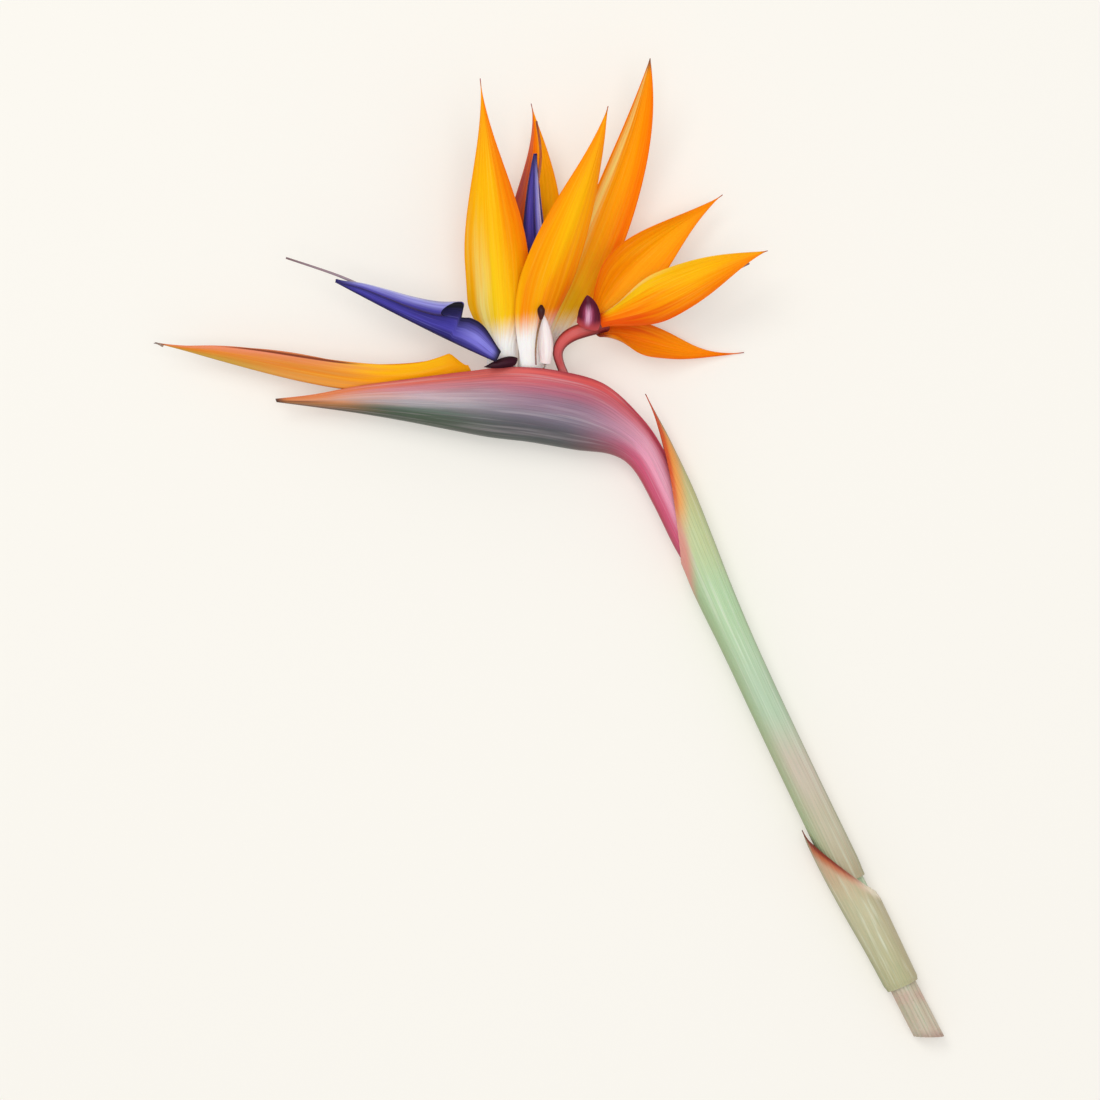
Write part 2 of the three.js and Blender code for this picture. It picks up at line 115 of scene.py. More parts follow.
# Meshes. A shape is its points, its faces and each point's place on the piece: across (-1 to 1),
# along (0 to 1) and which face it is on. A piece that is in the CAD stands for its node there.
def makePiece(name, shape, finishes, inCad=True):
    points, faces, places = shape
    mesh = bpy.data.meshes.new(name)
    mesh.from_pydata(((np.asarray(points) - middle) * mm).tolist(), [], faces)
    mesh.validate()
    place = mesh.attributes.new("place", "FLOAT_VECTOR", "POINT")
    place.data.foreach_set("vector", np.asarray(places, np.float32).ravel())
    mesh.polygons.foreach_set("use_smooth", [True] * len(mesh.polygons))
    for finish in finishes:
        mesh.materials.append(finish)
    piece = newObject(name, mesh)
    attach(piece, "root")
    if inCad:
        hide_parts(name)
    return piece


# A thin solid between two grids of points. Its open edges get a rounded rim. has tells which
# cells are there, and a wrapped grid closes on itself.
def sheetMesh(over, under, places, has=None, wrap=False):
    rows, columns = over.shape[:2]
    cells = np.ones((rows - 1, columns if wrap else columns - 1), bool) if has is None else has
    count = rows * columns
    index = np.arange(count).reshape(rows, columns)
    points = [over.reshape(-1, 3), under.reshape(-1, 3)]
    flat = places.reshape(-1, 3) * [1, 1, 0]
    marks = [flat + [0, 0, -1], flat + [0, 0, 1]]
    i, j = np.nonzero(cells)
    k = (j + 1) % columns
    a, b, c, d = index[i, j], index[i + 1, j], index[i + 1, k], index[i, k]
    faces = np.concatenate([np.stack([a, b, c, d], 1), np.stack([d, c, b, a], 1) + count]).tolist()

    def there(i, j):
        if wrap:
            j = j % cells.shape[1]
        inside = (i >= 0) & (i < cells.shape[0]) & (j >= 0) & (j < cells.shape[1])
        return inside & cells[np.clip(i, 0, cells.shape[0] - 1), np.clip(j, 0, cells.shape[1] - 1)]

    # each open edge runs so that the over face lies on its left
    edges = []
    for di, dj, first, second in ((-1, 0, a, d), (1, 0, c, b), (0, -1, b, a), (0, 1, d, c)):
        bare = ~there(i + di, j + dj)
        edges += list(zip(first[bare], second[bare]))
    flatOver, flatUnder = points
    outwards = {}
    for p, q in edges:
        out = np.cross(flatOver[q] - flatOver[p], flatOver[p] - flatUnder[p])
        size = np.linalg.norm(out)
        if size > 0:
            for r in (p, q):
                outwards[r] = outwards.get(r, 0) + out / size
    rimBulge = 0.4  # as a share of the sheet's thickness there
    rimOf = {}
    rim, rimMarks = [], []
    for p, out in outwards.items():
        thick = np.linalg.norm(flatOver[p] - flatUnder[p])
        way = out / max(np.linalg.norm(out), 1e-9)
        rimOf[p] = 2 * count + len(rim)
        rim.append((flatOver[p] + flatUnder[p]) / 2 + way * thick * rimBulge)
        rimMarks.append(flat[p])
    for p, q in edges:
        faces.append([q, p, rimOf[p], rimOf[q]])
        faces.append([rimOf[q], rimOf[p], p + count, q + count])
    points = np.concatenate(points + [np.array(rim)])
    marks = np.concatenate(marks + [np.array(rimMarks)])
    used = np.zeros(len(points), bool)
    for face in faces:
        used[face] = True
    new = np.cumsum(used) - 1
    return points[used], [new[face].tolist() for face in faces], marks[used]


# A closed body through rings of points, each end closed by a small dome of ever narrower rings.
def loftMesh(rings, places, domes=(0.5, 0.5)):
    for end, dome in ((0, domes[0]), (-1, domes[1])):
        ring, mark = rings[end], places[end]
        centre = ring.mean(0)
        radius = np.linalg.norm(ring - centre, axis=1).mean()
        out = unit(np.cross(ring[0] - centre, ring[len(ring) // 4] - centre))
        inward = rings[1 if end == 0 else -2].mean(0) - centre
        out = -out * np.sign(out @ inward)
        for share in (0.35, 0.65, 0.88, 0.99):
            new = centre + (ring - centre) * math.sqrt(1 - share**2) + out * radius * dome * share
            rings = [new] + rings if end == 0 else rings + [new]
            places = [mark] + places if end == 0 else places + [mark]
    sides = len(rings[0])
    last = (len(rings) - 1) * sides
    faces = []
    for low in range(0, last, sides):
        high = low + sides
        for j in range(sides):
            k = (j + 1) % sides
            faces.append([low + j, low + k, high + k, high + j])
    faces += [list(range(sides - 1, -1, -1)), list(range(last, last + sides))]
    return np.concatenate(rings), faces, np.concatenate(places)


# A round body along a curve of points, with ridges that run along it.
def roundBody(path, radii, sides, steps, ridges=0, ridgeDepth=0.0):
    t = np.linspace(0, 1, steps + 1)
    centre = along(path, t)
    run = unit(np.gradient(centre, axis=0))
    side, up = squareTo(run, skyward)
    radius = along(radii, t)
    angle = roundAngles(sides)[::-1]  # this way round, the faces look outwards
    relief = 1 + ridgeDepth * np.cos(ridges * angle)
    rings, places = [], []
    for i in range(steps + 1):
        rings.append(centre[i] + spokes(angle, side[i], up[i]) * (radius[i] * relief)[:, None])
        places.append(ringPlaces(angle, t[i]))
    return loftMesh(rings, places)


# Materials
def colour(code):
    part = [int(code[k : k + 2], 16) / 255 for k in (1, 3, 5)]
    return [c / 12.92 if c <= 0.04045 else ((c + 0.055) / 1.055) ** 2.4 for c in part] + [1.0]


# One material's node tree, with short names for the nodes that every finish here uses.
class Finish:
    def __init__(self, name, roughness, subsurface=0.0, specular=0.25, coat=0.0):
        self.material = bpy.data.materials.new(name)
        self.material.use_nodes = True
        self.tree = self.material.node_tree
        self.shader = self.tree.nodes["Principled BSDF"]
        setInputs(self.shader, {
            "Roughness": roughness, "Subsurface Weight": subsurface, "Subsurface Scale": 1.0,
            "Subsurface Radius": (0.002, 0.001, 0.0005), "Specular IOR Level": specular,
            "Coat Weight": coat, "Coat Roughness": 0.35,
        })
        place = self.node("Attribute", {}, attribute_name="place")
        self.across, self.along, self.face = self.split(place.outputs["Vector"])
        self.where = self.node("TexCoord", {}).outputs["Object"]
        self.rightwards, self.upwards, _ = self.split(self.where)  # in the picture, in metres

    # a node with its settings, and a value or a link into each input that is given
    def node(self, kind, given, **settings):
        made = self.tree.nodes.new("ShaderNode" + kind)
        for key, value in settings.items():
            setattr(made, key, value)
        for key, source in given.items():
            self.join(source, made.inputs[key])
        return made

    def join(self, source, target):
        if hasattr(source, "is_output"):
            self.tree.links.new(source, target)
        else:
            target.default_value = source

    def split(self, vector):
        return self.node("SeparateXYZ", {0: vector}).outputs

    def calc(self, kind, a, b=0.0, c=0.0):
        return self.node("Math", {0: a, 1: b, 2: c}, operation=kind).outputs[0]

    def plus(self, a, b):
        return self.calc("ADD", a, b)

    def minus(self, a, b):
        return self.calc("SUBTRACT", a, b)

    def times(self, a, b):
        return self.calc("MULTIPLY", a, b)

    def timesPlus(self, a, b, c):
        return self.calc("MULTIPLY_ADD", a, b, c)

    def size(self, a):
        return self.calc("ABSOLUTE", a)

    # 0 to 1 as value goes from low to high, with soft ends
    def step(self, value, low, high):
        given = {"Value": value, "From Min": low, "From Max": high}
        return self.node("MapRange", given, interpolation_type="SMOOTHSTEP").outputs[0]

    # 1 at centre, 0 further than width away
    def band(self, value, centre, width):
        return self.minus(1.0, self.step(self.size(self.minus(value, centre)), 0.0, width))

    def ramp(self, value, stops):
        made = self.node("ValToRGB", {0: value})
        bar = made.color_ramp
        bar.interpolation = "EASE"
        while len(bar.elements) < len(stops):
            bar.elements.new(0.5)
        for element, (at, code) in zip(bar.elements, stops):
            element.position = at
            element.color = colour(code)
        return made.outputs[0]

    # from a to b as share goes from 0 to 1
    def blend(self, share, a, b):
        a, b = (colour(tone) if isinstance(tone, str) else tone for tone in (a, b))
        return self.node("Mix", {0: share, 6: a, 7: b}, data_type="RGBA", blend_type="MIX").outputs[2]

    # tone laid over base where mask is 1, in full or as strongly as said
    def tint(self, base, tone, mask, strength=None):
        return self.blend(mask if strength is None else self.times(mask, strength), base, tone)

    # noise drawn out along the piece: many cells across it, few along it
    def streaks(self, across, along, seed):
        place = (self.times(self.across, across), self.times(self.along, along), self.plus(self.face, seed))
        vector = self.node("CombineXYZ", dict(enumerate(place))).outputs[0]
        given = {"Scale": 1.0, "Detail": 3.0, "Roughness": 0.55, "Vector": vector}
        return self.node("TexNoise", given).outputs["Fac"]

    # even noise over the surface, size in millimetres
    def mottle(self, size, seed):
        given = {"Scale": 1000 / size, "Detail": 4.0, "W": seed, "Vector": self.where}
        return self.node("TexNoise", given, noise_dimensions="4D").outputs["Fac"]

    # depth in millimetres
    def bump(self, height, depth):
        given = {"Strength": 1.0, "Distance": depth * mm, "Height": height}
        self.join(self.node("Bump", given).outputs[0], self.shader.inputs["Normal"])

    # relief of fine streaks with a share of even grain
    def grain(self, fine, depth, size=0.5, seed=1, share=0.3):
        self.bump(self.plus(fine, self.times(self.mottle(size, seed), share)), depth)

    def finish(self, base):
        self.join(base, self.shader.inputs["Base Color"])
        return self.material


# Camera, floor and light, in metres. across is the picture's width at the floor, and glow the
# share of its lightness that the paper has of itself.
cameraLook = {"height": 1.9, "across": 0.385, "sensor": 36, "farthest": 50}
floorLook = {"half": 4.0, "drop": 0.00005, "paper": "#f8f5ee", "glow": 0.32, "roughness": 0.9,
             "specular": 0.1}
skyStrength = 0.5
lamps = {
    "key": {"at": (-0.6, 0.8, 1.7), "size": 0.9, "power": 9.0, "tint": (1.0, 0.99, 0.965)},
    "above": {"at": (0.1, 0.0, 2.0), "size": 1.3, "power": 13.5, "tint": (1.0, 0.997, 0.985)},
    "fill": {"at": (0.9, -0.9, 1.6), "size": 1.6, "power": 2.5, "tint": (0.97, 0.985, 1.0)},
}


def makeCamera():
    data = bpy.data.cameras.new("camera")
    data.sensor_width = cameraLook["sensor"]
    data.lens = cameraLook["sensor"] * cameraLook["height"] / cameraLook["across"]
    data.clip_end = cameraLook["farthest"]
    camera = newObject("camera", data)
    camera.location = (0, 0, cameraLook["height"])
    bpy.context.scene.camera = camera


def makeFloor():
    half, glow = floorLook["half"], floorLook["glow"]
    mesh = bpy.data.meshes.new("floor")
    corners = ((-half, -half), (half, -half), (half, half), (-half, half))
    mesh.from_pydata([(x, y, -floorLook["drop"]) for x, y in corners], [], [(0, 1, 2, 3)])
    paper = bpy.data.materials.new("floor_paper")
    paper.use_nodes = True
    tone = colour(floorLook["paper"])
    setInputs(paper.node_tree.nodes["Principled BSDF"], {
        "Base Color": [c * (1 - glow) for c in tone[:3]] + [1.0], "Emission Color": tone,
        "Emission Strength": glow, "Roughness": floorLook["roughness"],
        "Specular IOR Level": floorLook["specular"],
    })
    mesh.materials.append(paper)
    newObject("floor", mesh)


def makeLights():
    world = bpy.data.worlds.new("studio")
    world.use_nodes = True
    setInputs(world.node_tree.nodes["Background"], {"Color": (1, 1, 1, 1), "Strength": skyStrength})
    bpy.context.scene.world = world
    for name, look in lamps.items():
        data = bpy.data.lights.new(name, "AREA")
        data.shape = "DISK"
        data.size = look["size"]
        data.energy = look["power"]
        data.color = look["tint"]
        lamp = newObject(name, data)
        lamp.location = look["at"]
        lamp.rotation_euler = (-lamp.location.normalized()).to_track_quat("-Z", "Y").to_euler()
    bpy.context.scene.view_settings.view_transform = "Standard"


makeCamera()
makeFloor()
makeLights()
print("camera and studio ready")

# The stem's axis runs from the neck of the spathe (0) down to the cut (-180), and inside the
# spathe it goes on as a thin stalk. cutSlant is the cut's slope, and cutReach is how far up the
# rings are slanted. A face is the cut's where it looks down the stem and lies within cutDepth.
stem = {
    "length": 180, "bow": 5, "drop": 5, "cutSlant": 0.45, "cutReach": 12, "cutFacing": 0.6, "cutDepth": 5,
    "neck": (69, -73.7, 10.05), "up": (-0.41, 0.912, 0.0),
    "radius": {"cut": 4.9, "neck": 3.8, "inNeck": 2.0, "end": 1.3},
    "stalkFrom": -2.5, "stalk": [
        (63.2, -63.2, 10.2), (56, -47.6, 10.7), (48.7, -33.4, 11.2), (38, -26, 11.5),
        (22, -24, 11.6), (6, -22.6, 11.6), (-9, -21.2, 11.6),
    ],
    "ridges": 17, "ridgeDepth": 0.16, "swell": 0.12, "sides": 102, "rows": 90, "stalkRows": 50,
}
stemUp = unit(np.array(stem["up"]))
stemSide = np.array([stemUp[1], -stemUp[0], 0.0])


def axisPoint(s):
    s = np.asarray(s, float)
    down = np.minimum(s, 0) / stem["length"]
    point = np.array(stem["neck"]) + stemUp * s[..., None]
    point = point + stemSide * (stem["bow"] * down**2)[..., None]
    return point - skyward * (stem["drop"] * down**2)[..., None]


def stemMesh():
    length, radius, ridge = stem["length"], stem["radius"], stem["ridgeDepth"]
    angle = roundAngles(stem["sides"])
    rings, places = [], []
    for s in -length * (1 - np.linspace(0, 1, stem["rows"]) ** 0.9):
        r = mix(radius["neck"], radius["cut"], min(1, -s / length))
        r = r + stem["swell"] * math.sin(s * 0.05) - ridge / 2
        ribs = ridge * np.cos(stem["ridges"] * angle + 0.5 * math.sin(s * 0.02))
        ring = axisPoint(s) + spokes(angle, stemSide, skyward) * (r + ribs)[:, None]
        low = max(0, 1 - (s + length) / stem["cutReach"])
        rings.append(ring - stemUp * (stem["cutSlant"] * low * r * np.cos(angle))[:, None])
        places.append(ringPlaces(angle, 1 + s / length))
    path = np.concatenate([axisPoint(np.array([stem["stalkFrom"], 0.0])), np.array(stem["stalk"])])
    t = np.linspace(0, 1, stem["stalkRows"])
    centre = along(path, t)
    side, up = squareTo(unit(np.gradient(centre, axis=0)), skyward)
    for i in range(len(t)):
        r = mix(radius["inNeck"], radius["end"], t[i])
        rings.append(centre[i] + spokes(angle, side[i], up[i]) * r)
        places.append(ringPlaces(angle, 1.0))
    return loftMesh(rings, places, domes=(0.02, 0.5))


stemLook = {
    "skin": [(0.0, "#c9b7a4"), (0.08, "#c4b6a0"), (0.25, "#b4c3a0"), (0.5, "#a9c49b"), (1.0, "#a3bf8f")],
    "pale": "#dfe6cf", "vein": "#7f9b72", "flush": "#c99a92", "specks": "#8a7d55",
    "cutVessels": "#a98f58", "cutFlesh": "#e3e2b8", "cutCells": 1100,
}


def stemFinish():
    f = Finish("stem_green_skin", roughness=0.42, subsurface=0.08, coat=0.05)
    fine = f.streaks(26, 5, 3)
    wide = f.streaks(5, 3, 9)
    base = f.ramp(f.along, stemLook["skin"])
    base = f.tint(base, stemLook["pale"], f.step(wide, 0.45, 0.7), 0.5)
    base = f.tint(base, stemLook["vein"], f.step(fine, 0.42, 0.62), 0.3)
    flush = f.times(f.step(f.along, 0.34, 0.06), f.step(f.mottle(14, 2), 0.4, 0.62))
    base = f.tint(base, stemLook["flush"], flush, 0.55)
    base = f.tint(base, stemLook["specks"], f.step(f.mottle(0.9, 5), 0.62, 0.72), 0.25)
    f.grain(fine, 0.12)
    return f.finish(base)


def cutFinish():
    f = Finish("stem_cut_face", roughness=0.6, subsurface=0.1)
    cells = f.node("TexVoronoi", {"Scale": stemLook["cutCells"], "Vector": f.where}).outputs["Distance"]
    base = f.blend(f.step(cells, 0.1, 0.45), stemLook["cutVessels"], stemLook["cutFlesh"])
    f.bump(cells, 0.2)
    return f.finish(base)


def makeStem():
    piece = makePiece("stem", stemMesh(), [stemFinish(), cutFinish()])
    end = axisPoint(-stem["length"])
    for polygon in piece.data.polygons:
        away = (np.array(polygon.center) / mm + middle - end) @ stemUp
        facing = np.dot(polygon.normal, -stemUp)
        polygon.material_index = int(facing > stem["cutFacing"] and away < stem["cutDepth"])


makeStem()
print("stem made")

# Sheaths round the stem, at heights along its axis. inner is the inner radius from foot to point,
# aside how far the sheath leans over towards its point, spike the fine end of the point.
sheaths = {
    "sheath_upper": {
        "foot": -119, "low": 6, "tip": 58, "turn": 0.0, "spike": 7,
        "inner": [5.15, 5.15, 5.1, 5.1, 5.1, 5.25, 5.8, 6.35, 6.4, 5.4, 4.6],
        "aside": [0, 0, 0, 0, 0, 0, 0, 0.4, 1.1, 1.7, 1.8],
    },
    "sheath_lower": {
        "foot": -160, "low": -126, "tip": -100, "turn": math.pi, "spike": 4,
        "inner": [5.3, 5.7, 6.3, 6.6, 6.6], "aside": [0, 0, 0.3, 0.6, 0.6],
    },
}
sheathShape = {"wall": 0.8, "paper": 0.35, "paperFrom": 0.9, "footWall": 0.5, "footRun": 0.04,
               "mouthCurve": 1.1, "spikeWidth": 0.2, "ribs": 34, "ribDepth": 0.07}


def sheathMesh(look, rows=110, columns=136):
    shape = sheathShape
    angle = roundAngles(columns)
    away = np.minimum(angle, 2 * np.pi - angle)
    drawn = ((1 + np.cos(angle)) / 2) ** shape["mouthCurve"]
    mouth = mix(look["low"], look["tip"], drawn) + look["spike"] * np.exp(-away / shape["spikeWidth"])
    row = np.linspace(0, 1, rows)[:, None]
    s = mix(look["foot"], mouth[None, :], row)
    share = np.minimum(1, (s - look["foot"]) / (look["tip"] + look["spike"] - look["foot"]))
    out = spokes(angle + look["turn"], stemSide, skyward)
    aside = math.cos(look["turn"]) * along(look["aside"], share)
    centre = axisPoint(s) + stemSide * aside[..., None]
    inner = along(look["inner"], share)
    papery = smooth((row - shape["paperFrom"]) / (1 - shape["paperFrom"]))
    footed = smooth(row / shape["footRun"])
    ribs = shape["ribDepth"] * (np.cos(shape["ribs"] * angle) - 1)[None, :]
    wall = mix(shape["wall"], shape["paper"], papery) * mix(shape["footWall"], 1, footed) + ribs
    over = centre + out * (inner + wall)[..., None]
    under = centre + out * inner[..., None]
    places = np.stack(np.broadcast_arrays(away / np.pi * np.sign(np.pi - angle), row, 0.0), -1)
    return sheetMesh(over, under, places, wrap=True)


# skin is a sheath's colours from low to high over the reach, between two heights up the picture.
# Above marginFrom the mouth has its coloured margin.
sheathLooks = {
    "sheath_upper": {
        "reach": (-0.115, 0.05), "marginFrom": (0.002, 0.018),
        "margin": "#eb9a4a", "edge": "#d2481f", "behind": "#e0998c", "flank": "#9db283",
        "skin": [(0.0, "#b5a688"), (0.12, "#c5bba2"), (0.24, "#cdbfae"), (0.37, "#b9cfb2"), (0.6, "#b8d5aa"),
                 (0.73, "#c6d09c"), (0.85, "#cfc486"), (0.93, "#d79a54"), (1.0, "#94786c")],
    },
    "sheath_lower": {
        "reach": (-0.155, -0.095), "marginFrom": (-0.2, -0.19),
        "margin": "#b9653f", "edge": "#7c2618", "behind": "#e9dcc4", "flank": "#b5a888",
        "skin": [(0.0, "#b8b48c"), (0.5, "#c6bf9c"), (0.8, "#cfa98a"), (1.0, "#7a3023")],
    },
}
sheathTints = {"pale": "#e9efdd", "vein": "#86a07a", "spine": "#7f8c62"}


def sheathFinish(name, look):
    f = Finish(name + "_skin", roughness=0.42, subsurface=0.08)
    fine = f.streaks(60, 4, 1)
    wide = f.streaks(14, 2, 6)
    low, high = look["reach"]
    base = f.ramp(f.calc("DIVIDE", f.minus(f.upwards, low), high - low), look["skin"])
    base = f.tint(base, sheathTints["pale"], f.step(wide, 0.5, 0.72), 0.5)
    base = f.tint(base, sheathTints["vein"], f.step(fine, 0.45, 0.65), 0.25)
    aside = f.size(f.across)  # 0 on the side of the point, 1 on the side that is cut away
    base = f.tint(base, sheathTints["spine"], f.step(aside, 0.2, 0.0), 0.6)
    base = f.tint(base, look["flank"], f.step(aside, 0.5, 0.9), 0.8)
    ragged = f.timesPlus(f.minus(wide, 0.5), 0.06, f.along)
    band = f.times(f.step(ragged, 0.86, 0.96), f.step(aside, 0.03, 0.12))
    base = f.tint(base, look["behind"], f.times(band, f.step(aside, 0.4, 0.7)))
    lit = f.times(f.step(f.upwards, *look["marginFrom"]), f.step(aside, 0.8, 0.4))
    base = f.tint(base, look["margin"], f.times(band, lit))
    base = f.tint(base, look["edge"], f.times(f.step(f.along, 0.945, 0.985), lit), 0.9)
    f.grain(fine, 0.1)
    return f.finish(base)


def makeSheaths():
    for name, look in sheaths.items():
        makePiece(name, sheathMesh(look), [sheathFinish(name, sheathLooks[name])])


makeSheaths()
print("sheaths made")

# Stations of the spathe from the stem to the tip: keel and upper edge seen from above, half
# the width, half the gap between the upper edges, and the height of the middle.
spathe = {
    "keelX": [65.3, 58.9, 51.2, 44, 36.5, 24, 8, -6, -20, -36, -52, -67, -80],
    "keelY": [-75.9, -66, -50.5, -38, -33, -31.3, -28.6, -26.9, -24.3, -21.2, -18.5, -16.4, -14.7],
    "edgeX": [73.1, 67.2, 60.8, 54.3, 46.5, 34, 18, 2, -14, -32, -50, -67, -80.4],
    "edgeY": [-72.4, -61.2, -45.2, -30.5, -19.5, -8.5, -4, -2.7, -4.2, -6.5, -8.9, -12, -13.5],
    "half": [4.3, 4.7, 5.2, 6.3, 8.3, 10.8, 12.1, 12.1, 10.6, 7.6, 4.8, 2.4, 1.1],
    "gap": [0.6, 0.5, 0.5, 0.6, 1.2, 3.6, 7.3, 7.3, 4.6, 4, 3.1, 1.6, 0.4],
    "middle": [9.9, 10.2, 10.7, 11.2, 11.5, 11.6, 11.6, 11.6, 11.5, 11.2, 10.9, 10.6, 10.4],
}
# The wall is at most wallShare of the half width, and thins to rimWall from rimFrom upwards.
spatheShape = {"wall": 1.4, "wallShare": 0.45, "keelWall": 1.3, "rimWall": 0.5, "rimFrom": 0.75,
               "ribs": 19, "ribDepth": 0.07}


def spatheGrid(t, u, inside):
    shape = spatheShape
    at = {name: along(stations, t) for name, stations in spathe.items()}
    keel = np.stack([at["keelX"], at["keelY"]], -1)
    edge = np.stack([at["edgeX"], at["edgeY"]], -1)
    depth = np.linalg.norm(edge - keel, axis=-1)
    wall = np.minimum(shape["wall"], at["half"] * shape["wallShare"])
    v = np.abs(u)
    if inside:
        start = np.minimum(wall * shape["keelWall"], depth * shape["wallShare"]) / depth
        thinning = smooth((v - shape["rimFrom"]) / (1 - shape["rimFrom"]))
        full = at["half"] - wall * mix(1, shape["rimWall"], thinning)
        rim = at["gap"]
        ribs = 0.0
    else:
        start = 0.0
        full = at["half"]
        rim = at["gap"] + np.minimum(shape["rimWall"], wall)
        ribs = shape["ribDepth"] * (1 - np.cos(2 * np.pi * shape["ribs"] * v))
    rounded = np.sin(np.pi * v**0.85) ** 0.75
    closing = mix(1, np.minimum(1, rim / full), smooth((v - 0.5) * 2))
    belly = np.where(v > 0.5, np.maximum(rounded, closing), rounded)
    full = full - ribs * smooth(v * 8) * smooth((1 - v) * 12)  # no ribs at the keel and the rim
    place = mix(keel, edge, (start + (1 - start) * v)[..., None])
    z = np.maximum(0.0, at["middle"] + np.sign(u) * full * belly)
    return np.concatenate([place, z[..., None]], -1)


def spatheMesh(rows=220, half=56):
    t, u = np.meshgrid(np.linspace(0, 1, rows), np.linspace(-1, 1, 2 * half + 1), indexing="ij")
    return sheetMesh(spatheGrid(t, u, True), spatheGrid(t, u, False), np.stack([u, t, 0 * t], -1))


# Colours from the keel to the upper edge: towards the stem, towards the beak, at the neck and
# at the beak's point. Towards the keel they darken, partly the spathe's own grey-green and partly
# painted shade on the side that turns away from the light; the pale band across the front is
# partly a painted highlight, and the beak's dark keel is a painted shadow under the beak.
spatheTonesAndPaintedLight = {
    "stem": [(0.0, "#343d39"), (0.16, "#54565a"), (0.34, "#7a7080"), (0.55, "#94758a"),
             (0.72, "#b46a80"), (0.85, "#cf5f69"), (0.95, "#d9534f"), (1.0, "#a52c36")],
    "front": [(0.0, "#33452f"), (0.16, "#435843"), (0.28, "#68766c"), (0.4, "#a5a0a5"),
              (0.6, "#c8adb5"), (0.76, "#d68c95"), (0.91, "#e06b5a"), (1.0, "#c24036")],
    "neck": [(0.0, "#b82648"), (0.22, "#d65a7c"), (0.5, "#ee9fb9"), (0.7, "#f2a9c0"),
             (0.86, "#e57e95"), (1.0, "#b53048")],
    "beak": [(0.0, "#4a3322"), (0.2, "#a8703c"), (0.5, "#ea924e"), (1.0, "#e67e40")],
}
spatheTints = {"foot": "#c9405c", "forkShade": "#6b3a22", "point": "#5f3a28", "pale": "#dfd0d6",
               "vein": "#5d4050", "inside": "#d9a9a0"}


def spatheFinish():
    f = Finish("spathe_skin", roughness=0.4, subsurface=0.08, specular=0.3)
    v = f.size(f.across)
    fine = f.streaks(70, 7, 2)
    wide = f.streaks(16, 3, 5)
    wobble = f.timesPlus(f.streaks(5, 6, 8), 0.16, -0.08)
    height = f.plus(v, wobble)
    place = f.plus(f.along, wobble)
    tint = spatheTints
    tone = {name: f.ramp(height, stops) for name, stops in spatheTonesAndPaintedLight.items()}
    base = f.blend(f.step(f.along, 0.5, 0.72), tone["stem"], tone["front"])
    base = f.tint(base, tone["neck"], f.step(f.along, 0.46, 0.23))
    base = f.tint(base, tint["foot"], f.step(place, 0.1, 0.0))
    base = f.tint(base, tone["beak"], f.step(place, 0.74, 0.93))
    # painted shade in a split that parts the tip in two, which the mesh does not have
    forkShade = f.times(f.band(v, 0.42, 0.14), f.step(f.along, 0.86, 0.95))  # parts the tip in two
    base = f.tint(base, tint["forkShade"], forkShade, 0.75)
    base = f.tint(base, tint["point"], f.step(f.along, 0.965, 1.0))
    base = f.tint(base, tint["pale"], f.step(wide, 0.5, 0.72), 0.25)
    base = f.tint(base, tint["vein"], f.step(fine, 0.44, 0.64), 0.22)
    base = f.tint(base, tint["inside"], f.step(f.face, 0.2, -0.2), 0.75)
    f.grain(fine, 0.09, size=0.6)
    return f.finish(base)


makePiece("spathe", spatheMesh(), [spatheFinish()])
print("spathe made")

